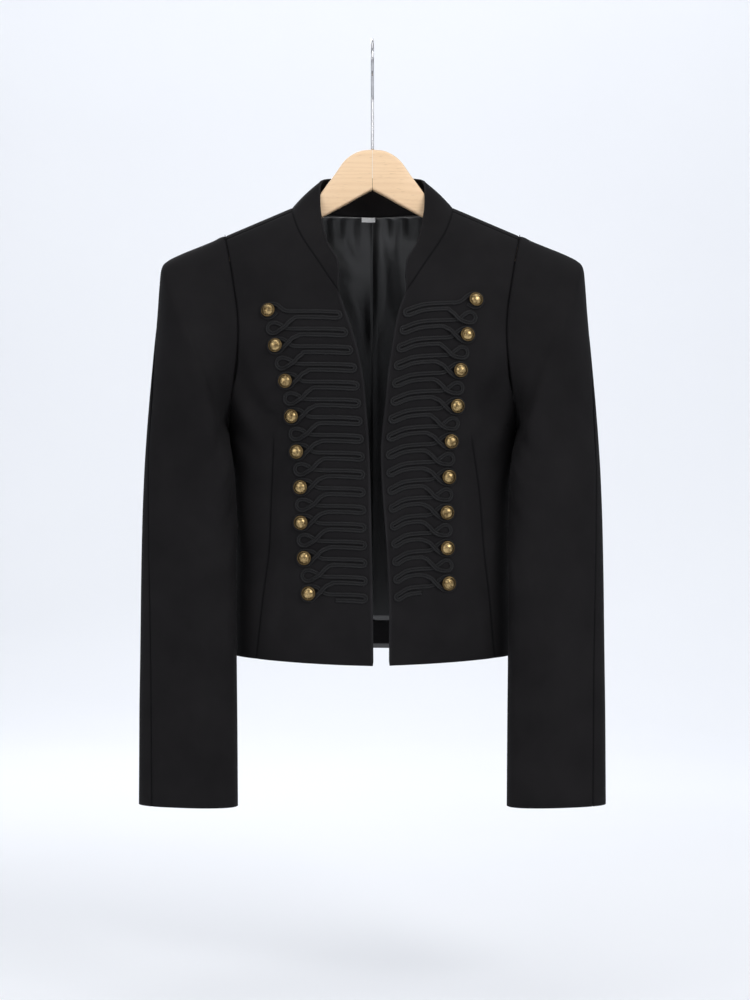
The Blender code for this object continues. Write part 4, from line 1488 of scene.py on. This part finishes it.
def blended(tree, factor, a, b):
    """A colour between two; each may be a socket or a colour."""
    node = tree.nodes.new("ShaderNodeMix")
    node.data_type = "RGBA"
    tree.links.new(factor, node.inputs["Factor"])
    for socket, source in ((node.inputs[6], a), (node.inputs[7], b)):
        if isinstance(source, bpy.types.NodeSocket):
            tree.links.new(source, socket)
        else:
            socket.default_value = (*source, 1)
    return node.outputs[2]


def twill_group():
    """Diagonal ribs of a twill, crossed by its threads, from a weave map in metres."""
    tree, start, end = group(
        "twill weave",
        (("Weave", VECTOR, None), ("Threads per metre", FLOAT, 2200.0), ("Slope", FLOAT, 1.4)),
        (("Height", FLOAT), ("Shade", FLOAT)),
    )
    split = tree.nodes.new("ShaderNodeSeparateXYZ")
    tree.links.new(start.outputs["Weave"], split.inputs[0])
    threads, slope = start.outputs["Threads per metre"], start.outputs["Slope"]
    sway = maths(tree, "MULTIPLY", noise(tree, start.outputs["Weave"], 260.0), 0.0006)
    u = maths(tree, "MULTIPLY", maths(tree, "ADD", split.outputs[0], sway), threads)
    v = maths(tree, "MULTIPLY", split.outputs[1], threads)
    diagonal = maths(tree, "ADD", u, maths(tree, "MULTIPLY", v, slope))
    rib = maths(tree, "SINE", maths(tree, "MULTIPLY", diagonal, math.pi))
    thread = maths(tree, "SINE", maths(tree, "MULTIPLY", v, 2 * math.pi))
    height = maths(tree, "MULTIPLY_ADD", thread, 0.25, maths(tree, "MULTIPLY_ADD", rib, 0.35, 0.5))
    tree.links.new(height, end.inputs["Height"])
    tree.links.new(maths(tree, "MULTIPLY_ADD", height, 0.35, 0.82), end.inputs["Shade"])
    return tree


def nap_group():
    """Brushed nap, soft cloudy wear and sparse lint, from a place in metres."""
    tree, start, end = group(
        "nap and lint",
        (("Place", VECTOR, None), ("Cloud size", FLOAT, 26.0), ("Lint", FLOAT, 0.6)),
        (("Cloud", FLOAT), ("Nap", FLOAT), ("Lint", FLOAT)),
    )
    place = start.outputs["Place"]
    cloud = noise(tree, place, start.outputs["Cloud size"], 3.0, 0.55)
    nap = noise(tree, place, 900.0, 2.0, 0.6)
    speck = tree.nodes.new("ShaderNodeTexVoronoi")
    speck.inputs["Scale"].default_value = 62.0
    tree.links.new(place, speck.inputs["Vector"])
    tiny = mapped(tree, speck.outputs["Distance"], 0.025, 0.012)
    rare = mapped(tree, noise(tree, place, 31.0, 1.0), 0.56, 0.66)
    lint = maths(tree, "MULTIPLY", tiny, rare, None, True)
    lint = maths(tree, "MULTIPLY", lint, start.outputs["Lint"])
    tree.links.new(cloud, end.inputs["Cloud"])
    tree.links.new(nap, end.inputs["Nap"])
    tree.links.new(lint, end.inputs["Lint"])
    return tree


def grain_group():
    """Long grain of planed wood with fine pores, along X of its vector in metres."""
    tree, start, end = group(
        "wood grain",
        (("Grain", VECTOR, None), ("Lines per metre", FLOAT, 170.0)),
        (("Line", FLOAT), ("Pore", FLOAT)),
    )
    stretch = tree.nodes.new("ShaderNodeVectorMath")
    stretch.operation = "MULTIPLY"
    stretch.inputs[1].default_value = (0.06, 1.0, 1.0)
    tree.links.new(start.outputs["Grain"], stretch.inputs[0])
    bend = noise(tree, stretch.outputs[0], 40.0, 2.0)
    split = tree.nodes.new("ShaderNodeSeparateXYZ")
    tree.links.new(stretch.outputs[0], split.inputs[0])
    across = maths(tree, "ADD", split.outputs[1], maths(tree, "MULTIPLY", split.outputs[2], 0.8))
    bend = maths(tree, "MULTIPLY", bend, 5.0)
    phase = maths(tree, "MULTIPLY_ADD", across, start.outputs["Lines per metre"], bend)
    wave = maths(tree, "SINE", maths(tree, "MULTIPLY", phase, 2 * math.pi))
    line = maths(tree, "MULTIPLY_ADD", wave, 0.5, 0.5)
    pore = mapped(tree, noise(tree, stretch.outputs[0], 1500.0, 2.0), 0.62, 0.75)
    tree.links.new(line, end.inputs["Line"])
    tree.links.new(pore, end.inputs["Pore"])
    return tree


def finish(name, **constants):
    """A material with its Principled shader's own numbers set."""
    made = bpy.data.materials.new(name)
    made.use_nodes = True
    shader = made.node_tree.nodes["Principled BSDF"]
    for label, value in constants.items():
        shader.inputs[label.replace("_", " ")].default_value = value
    return made, made.node_tree, shader


def placed(tree, shared, **values):
    """A shared group placed in a material, with its inputs as numbers or sockets."""
    node = tree.nodes.new("ShaderNodeGroup")
    node.node_tree = shared
    for label, value in values.items():
        socket = node.inputs[label.replace("_", " ")]
        if isinstance(value, bpy.types.NodeSocket):
            tree.links.new(value, socket)
        else:
            socket.default_value = value
    return node.outputs


def weave_map(tree):
    node = tree.nodes.new("ShaderNodeUVMap")
    node.uv_map = "weave"
    return node.outputs["UV"]


def mark(tree, name):
    """A value that the mesh carries at each point."""
    node = tree.nodes.new("ShaderNodeAttribute")
    node.attribute_name = name
    return node.outputs["Fac"]


def object_place(tree):
    return tree.nodes.new("ShaderNodeTexCoord").outputs["Object"]


def bump(tree, shader, height, strength, distance):
    node = tree.nodes.new("ShaderNodeBump")
    node.inputs["Strength"].default_value = strength
    node.inputs["Distance"].default_value = distance
    tree.links.new(height, node.inputs["Height"])
    tree.links.new(node.outputs["Normal"], shader.inputs["Normal"])


def make_suiting():
    made, tree, shader = finish(
        "suiting", Sheen_Weight=0.012, Sheen_Roughness=0.4, Specular_IOR_Level=0.06
    )
    weave = placed(tree, TWILL, Weave=weave_map(tree), Threads_per_metre=1900.0)
    nap = placed(tree, NAP, Place=object_place(tree), Cloud_size=17.0, Lint=0.5)
    cloudy = mapped(tree, nap["Cloud"], 0.3, 0.7)
    base = blended(tree, cloudy, (0.0092, 0.0086, 0.0092), (0.0136, 0.0127, 0.0134))
    shaded = tree.nodes.new("ShaderNodeVectorMath")
    shaded.operation = "SCALE"
    tree.links.new(base, shaded.inputs[0])
    tree.links.new(weave["Shade"], shaded.inputs["Scale"])
    # Along bare edges the cloth turns lighter: partly edge wear, partly a painted highlight
    worn = maths(tree, "MULTIPLY", maths(tree, "MULTIPLY", mark(tree, "worn"), nap["Cloud"]), 0.5)
    worn = blended(tree, worn, shaded.outputs[0], (0.045, 0.044, 0.047))
    # Painted shade: the cloth is darkened beside its seams and along the darts
    seam = maths(tree, "MULTIPLY", mark(tree, "seam"), 0.8)
    with_painted_seam_shade = blended(tree, seam, worn, (0.0025, 0.0025, 0.003))
    colour = blended(tree, nap["Lint"], with_painted_seam_shade, (0.16, 0.16, 0.165))
    tree.links.new(colour, shader.inputs["Base Color"])
    tree.links.new(mapped(tree, nap["Cloud"], 0.2, 0.8, 0.72, 0.86), shader.inputs["Roughness"])
    height = maths(tree, "MULTIPLY_ADD", nap["Nap"], 0.6, weave["Height"])
    bump(tree, shader, height, 0.35, 0.00012)
    return made


def make_satin():
    made, tree, shader = finish("satin lining", Anisotropic=0.3, Specular_IOR_Level=0.95)
    place = object_place(tree)
    cloud = noise(tree, place, 22.0, 3.0)
    cloudy = mapped(tree, cloud, 0.3, 0.7)
    colour = blended(tree, cloudy, (0.0060, 0.0060, 0.0065), (0.0095, 0.0095, 0.0100))
    tree.links.new(colour, shader.inputs["Base Color"])
    tree.links.new(mapped(tree, cloud, 0.2, 0.8, 0.32, 0.40), shader.inputs["Roughness"])
    weave = placed(tree, TWILL, Weave=weave_map(tree), Threads_per_metre=4200.0, Slope=0.2)
    soft = noise(tree, place, 55.0, 2.0)
    height = maths(tree, "MULTIPLY_ADD", weave["Height"], 0.06, soft)
    bump(tree, shader, height, 0.25, 0.0008)
    return made


def make_soutache():
    made, tree, shader = finish(
        "soutache braid", Sheen_Weight=0.03, Sheen_Roughness=0.35, Specular_IOR_Level=0.22
    )
    split = tree.nodes.new("ShaderNodeSeparateXYZ")
    tree.links.new(weave_map(tree), split.inputs[0])
    aside = maths(tree, "ABSOLUTE", split.outputs[1])
    slant = maths(tree, "MULTIPLY_ADD", aside, 1.1, split.outputs[0])
    rib = maths(tree, "SINE", maths(tree, "MULTIPLY", slant, 2 * math.pi / 0.00105))
    rib = maths(tree, "MULTIPLY_ADD", rib, 0.5, 0.5)
    groove = mapped(tree, aside, 0.0, 0.0006)
    nap = placed(tree, NAP, Place=object_place(tree), Cloud_size=60.0, Lint=0.35)
    # Painted shade: the braid is darker between its plaited ribs, and darker still in the groove
    # between its two cords
    shade = blended(tree, rib, (0.0045, 0.0043, 0.0047), (0.0112, 0.0107, 0.0115))
    deep = blended(tree, groove, (0.0035, 0.0035, 0.0042), shade)
    colour = blended(tree, nap["Lint"], deep, (0.16, 0.16, 0.165))
    tree.links.new(colour, shader.inputs["Base Color"])
    tree.links.new(mapped(tree, nap["Cloud"], 0.2, 0.8, 0.46, 0.6), shader.inputs["Roughness"])
    bump(tree, shader, maths(tree, "MULTIPLY_ADD", nap["Nap"], 0.3, rib), 0.6, 0.00025)
    return made


def make_brass():
    made, tree, shader = finish("antique brass", Metallic=1.0)
    split = tree.nodes.new("ShaderNodeSeparateXYZ")
    tree.links.new(weave_map(tree), split.inputs[0])
    radius = split.outputs[1]
    place = object_place(tree)
    cloud = noise(tree, place, 240.0, 4.0, 0.6)
    rim = mapped(tree, radius, 0.0056, 0.0066)
    inside = maths(tree, "SUBTRACT", 1.15, rim)
    worn = maths(tree, "MULTIPLY", mapped(tree, cloud, 0.36, 0.62), inside, None, True)
    colour = blended(tree, worn, (0.115, 0.075, 0.032), (0.50, 0.36, 0.17))
    tree.links.new(colour, shader.inputs["Base Color"])
    tree.links.new(mapped(tree, worn, 0.0, 1.0, 0.46, 0.27), shader.inputs["Roughness"])
    ring = maths(tree, "SINE", maths(tree, "MULTIPLY", radius, 2 * math.pi / 0.00045))
    height = maths(tree, "MULTIPLY_ADD", ring, 0.10, cloud)
    bump(tree, shader, height, 0.35, 0.00018)
    return made


def make_wood_finish():
    made, tree, shader = finish(
        "lacquered wood", Coat_Weight=0.35, Coat_Roughness=0.22, Specular_IOR_Level=0.45
    )
    grain = placed(tree, GRAIN, Grain=object_place(tree), Lines_per_metre=240.0)
    place = object_place(tree)
    tone = blended(tree, noise(tree, place, 12.0, 2.0), (0.88, 0.61, 0.37), (0.97, 0.72, 0.47))
    line = mapped(tree, grain["Line"], 0.35, 1.0, 0.0, 0.22)
    lined = blended(tree, line, tone, (0.72, 0.45, 0.23))
    colour = blended(tree, maths(tree, "MULTIPLY", grain["Pore"], 0.5), lined, (0.45, 0.26, 0.12))
    tree.links.new(colour, shader.inputs["Base Color"])
    tree.links.new(mapped(tree, grain["Line"], 0.0, 1.0, 0.36, 0.48), shader.inputs["Roughness"])
    bump(tree, shader, maths(tree, "SUBTRACT", grain["Line"], grain["Pore"]), 0.15, 0.0001)
    return made


def make_steel():
    made, tree, shader = finish("bright wire", Metallic=1.0)
    place = object_place(tree)
    cloud = noise(tree, place, 90.0, 3.0)
    colour = blended(tree, mapped(tree, cloud, 0.3, 0.7), (0.50, 0.50, 0.52), (0.66, 0.66, 0.68))
    tree.links.new(colour, shader.inputs["Base Color"])
    tree.links.new(mapped(tree, cloud, 0.2, 0.8, 0.16, 0.30), shader.inputs["Roughness"])
    bump(tree, shader, noise(tree, place, 1200.0, 2.0), 0.08, 0.0001)
    return made


def make_tape():
    made, tree, shader = finish("label tape", Sheen_Weight=0.2)
    weave = placed(tree, TWILL, Weave=weave_map(tree), Threads_per_metre=3200.0, Slope=0.0)
    cloud = noise(tree, object_place(tree), 240.0, 2.0)
    colour = blended(tree, mapped(tree, cloud, 0.3, 0.7), (0.90, 0.90, 0.89), (0.95, 0.95, 0.95))
    tree.links.new(colour, shader.inputs["Base Color"])
    tree.links.new(mapped(tree, cloud, 0.2, 0.8, 0.6, 0.8), shader.inputs["Roughness"])
    bump(tree, shader, weave["Height"], 0.3, 0.0001)
    return made


def make_thread(name, colour):
    made, tree, shader = finish(name, Roughness=0.55)
    twist = placed(tree, NAP, Place=object_place(tree), Cloud_size=400.0)
    darker = tuple(c * 0.7 for c in colour)
    tree.links.new(blended(tree, twist["Nap"], darker, colour), shader.inputs["Base Color"])
    return made


TWILL, NAP, GRAIN = twill_group(), nap_group(), grain_group()
COPIES = copies_tree()
suiting, satin, soutache = make_suiting(), make_satin(), make_soutache()
brass, wood, steel, tape = make_brass(), make_wood_finish(), make_steel(), make_tape()
thread = make_thread("black thread", (0.03, 0.03, 0.034))
pale_thread = make_thread("pale thread", (0.6, 0.6, 0.58))


# The blazer

# Cloth: piece, CAD node, cut width and length and the cut's area, in metres
CUTS = (
    ("front_right", 0.20, 0.50, 0.078),
    ("front_left", 0.20, 0.50, 0.074),
    ("back_right", 0.21, 0.51, 0.087),
    ("back_left", 0.21, 0.51, 0.087),
    ("upper_sleeve_right", 0.16, 0.63, 0.087),
    ("upper_sleeve_left", 0.16, 0.63, 0.087),
    ("under_sleeve_right", 0.15, 0.60, 0.0775),
    ("under_sleeve_left", 0.15, 0.60, 0.0775),
    ("collar", 0.41, 0.045, 0.0145),
    ("back_lining", 0.33, 0.46, 0.128),
    ("back_hem_facing", 0.31, 0.027, 0.0077),
    ("label", 0.015, 0.0107, 0.00016),
)

# Stitches: length, pitch and the thread's half thickness
LABEL_STITCH, HEM_STITCH = (1.5, 2.1, 0.13), (2.2, 5.5, 0.14)
# The lining's hem stitches: distance up from the hem, half length of the row, distance off
HEM_STITCH_UP, HEM_STITCH_HALF, HEM_STITCH_OFF = 1.2, 128, 0.6

made = {}
for wearer in ("right", "left"):
    made[f"front_{wearer}"] = make_front(wearer)
    made[f"back_{wearer}"] = make_back(wearer)
    made[f"upper_sleeve_{wearer}"] = make_sleeve_panel(wearer, "upper")
    made[f"under_sleeve_{wearer}"] = make_sleeve_panel(wearer, "under")
made["collar"] = make_collar()
made["back_lining"] = make_lining()
made["back_hem_facing"] = make_facing()
made["label"] = make_label()

for wearer in ("right", "left"):
    braid = make_braid(wearer)
    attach(braid, "root")
    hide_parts(f"braid_{wearer}")
    buttons = make_buttons(wearer)
    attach(buttons, "root")
    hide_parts(*[f"button_{wearer}_{number}" for number in range(1, 10)])
    half = make_wood(wearer)
    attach(half, "root")
    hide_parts(f"hanger_{wearer}")

hook = make_hook()
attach(hook, "root")
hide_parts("hook")

label_stitches = stitches("label_stitches", label_rows(), *LABEL_STITCH, pale_thread)
hem_row = inside_row(LINING_HEM - HEM_STITCH_UP, HEM_STITCH_HALF, LINING_CLOTH + HEM_STITCH_OFF)
hem_stitches = stitches("lining_hem_stitches", [hem_row], *HEM_STITCH, thread)
for sewn in (label_stitches, hem_stitches):
    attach(sewn, "root")

for piece, width, length, area in CUTS:
    cloth = made[piece]
    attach(cloth, "root")
    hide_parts(piece)


# Stage, light and camera


# The stage in metres: its front edge, floor and wall, the bend between the two, and the
# wall's top and half width
STAGE_FRONT, FLOOR, WALL, BEND, BEND_STEPS = -5.0, -1.05, 4.2, 1.6, 12
WALL_TOP, WALL_HALF = 4.0, 6.0


def make_stage():
    """A pale floor that turns up smoothly into a pale wall behind the blazer."""
    profile = [(STAGE_FRONT, FLOOR)]
    for k in range(BEND_STEPS + 1):
        angle = math.pi / 2 * k / BEND_STEPS
        y = WALL - BEND + BEND * math.sin(angle)
        profile.append((y, FLOOR + BEND - BEND * math.cos(angle)))
    profile.append((WALL, WALL_TOP))
    sides = (-WALL_HALF, WALL_HALF)
    vertices = [(x / MM, y / MM, z / MM) for y, z in profile for x in sides]
    faces = [(2 * k, 2 * k + 1, 2 * k + 3, 2 * k + 2) for k in range(len(profile) - 1)]
    paper, tree, shader = finish("pale paper", Specular_IOR_Level=0.1)
    cloud = noise(tree, object_place(tree), 1.5, 2.0)
    colour = blended(tree, cloud, (0.90, 0.91, 0.94), (0.94, 0.95, 0.97))
    tree.links.new(colour, shader.inputs["Base Color"])
    shader.inputs["Roughness"].default_value = 0.9
    add_mesh("pale_stage", vertices, faces, (paper,))


def add_light(name, place, target, size, watts, colour):
    lamp = bpy.data.lights.new(name, "AREA")
    lamp.shape, lamp.size, lamp.size_y = "RECTANGLE", size[0], size[1]
    lamp.energy, lamp.color = watts, colour
    obj = bpy.data.objects.new(name, lamp)
    obj.location = place
    obj.rotation_euler = (Vector(target) - Vector(place)).to_track_quat("-Z", "Y").to_euler()
    bpy.context.scene.collection.objects.link(obj)


BLAZER_MIDDLE, WALL_FOOT = (0, 0, -0.45), (0, 4.0, -0.9)
WHITE, COOL = (1.0, 1.0, 1.0), (0.96, 0.98, 1.0)
# Lights: name, place, target, size in metres, watts and colour
LIGHTS = (
    ("key", (1.7, -2.3, 1.0), BLAZER_MIDDLE, (1.6, 1.6), 42, WHITE),
    ("fill", (-1.8, -2.2, 0.3), BLAZER_MIDDLE, (1.8, 1.8), 18, WHITE),
    ("top", (0.0, -0.4, 1.6), BLAZER_MIDDLE, (1.8, 1.2), 9, WHITE),
    ("wall", (0.0, 2.0, 2.6), WALL_FOOT, (5.0, 0.8), 62, COOL),
    ("back", (-0.9, 2.3, 1.0), BLAZER_MIDDLE, (1.6, 1.2), 14, WHITE),
)

make_stage()
for light in LIGHTS:
    add_light(*light)

world = bpy.context.scene.world or bpy.data.worlds.new("studio")
bpy.context.scene.world = world
world.use_nodes = True
sky = world.node_tree.nodes["Background"]
sky.inputs["Color"].default_value = (0.90, 0.93, 1.0, 1)
sky.inputs["Strength"].default_value = 0.40

# Camera: what the photo's middle shows, in millimetres, its distance and the view's height
PHOTO_MIDDLE_X, PHOTO_MIDDLE_LEVEL = 2.86, 504.35
VIEW_DISTANCE, VIEW_HEIGHT = 2.6, 1.1
bpy.context.scene.view_settings.view_transform = "Standard"
camera = bpy.data.cameras.new("camera")
camera.sensor_width = 36.0
camera.lens = camera.sensor_width * VIEW_DISTANCE / VIEW_HEIGHT
holder = bpy.data.objects.new("camera", camera)
holder.location = (PHOTO_MIDDLE_X * MM, -VIEW_DISTANCE, -PHOTO_MIDDLE_LEVEL * MM)
holder.rotation_euler = (math.pi / 2, 0, 0)
bpy.context.scene.collection.objects.link(holder)
bpy.context.scene.camera = holder
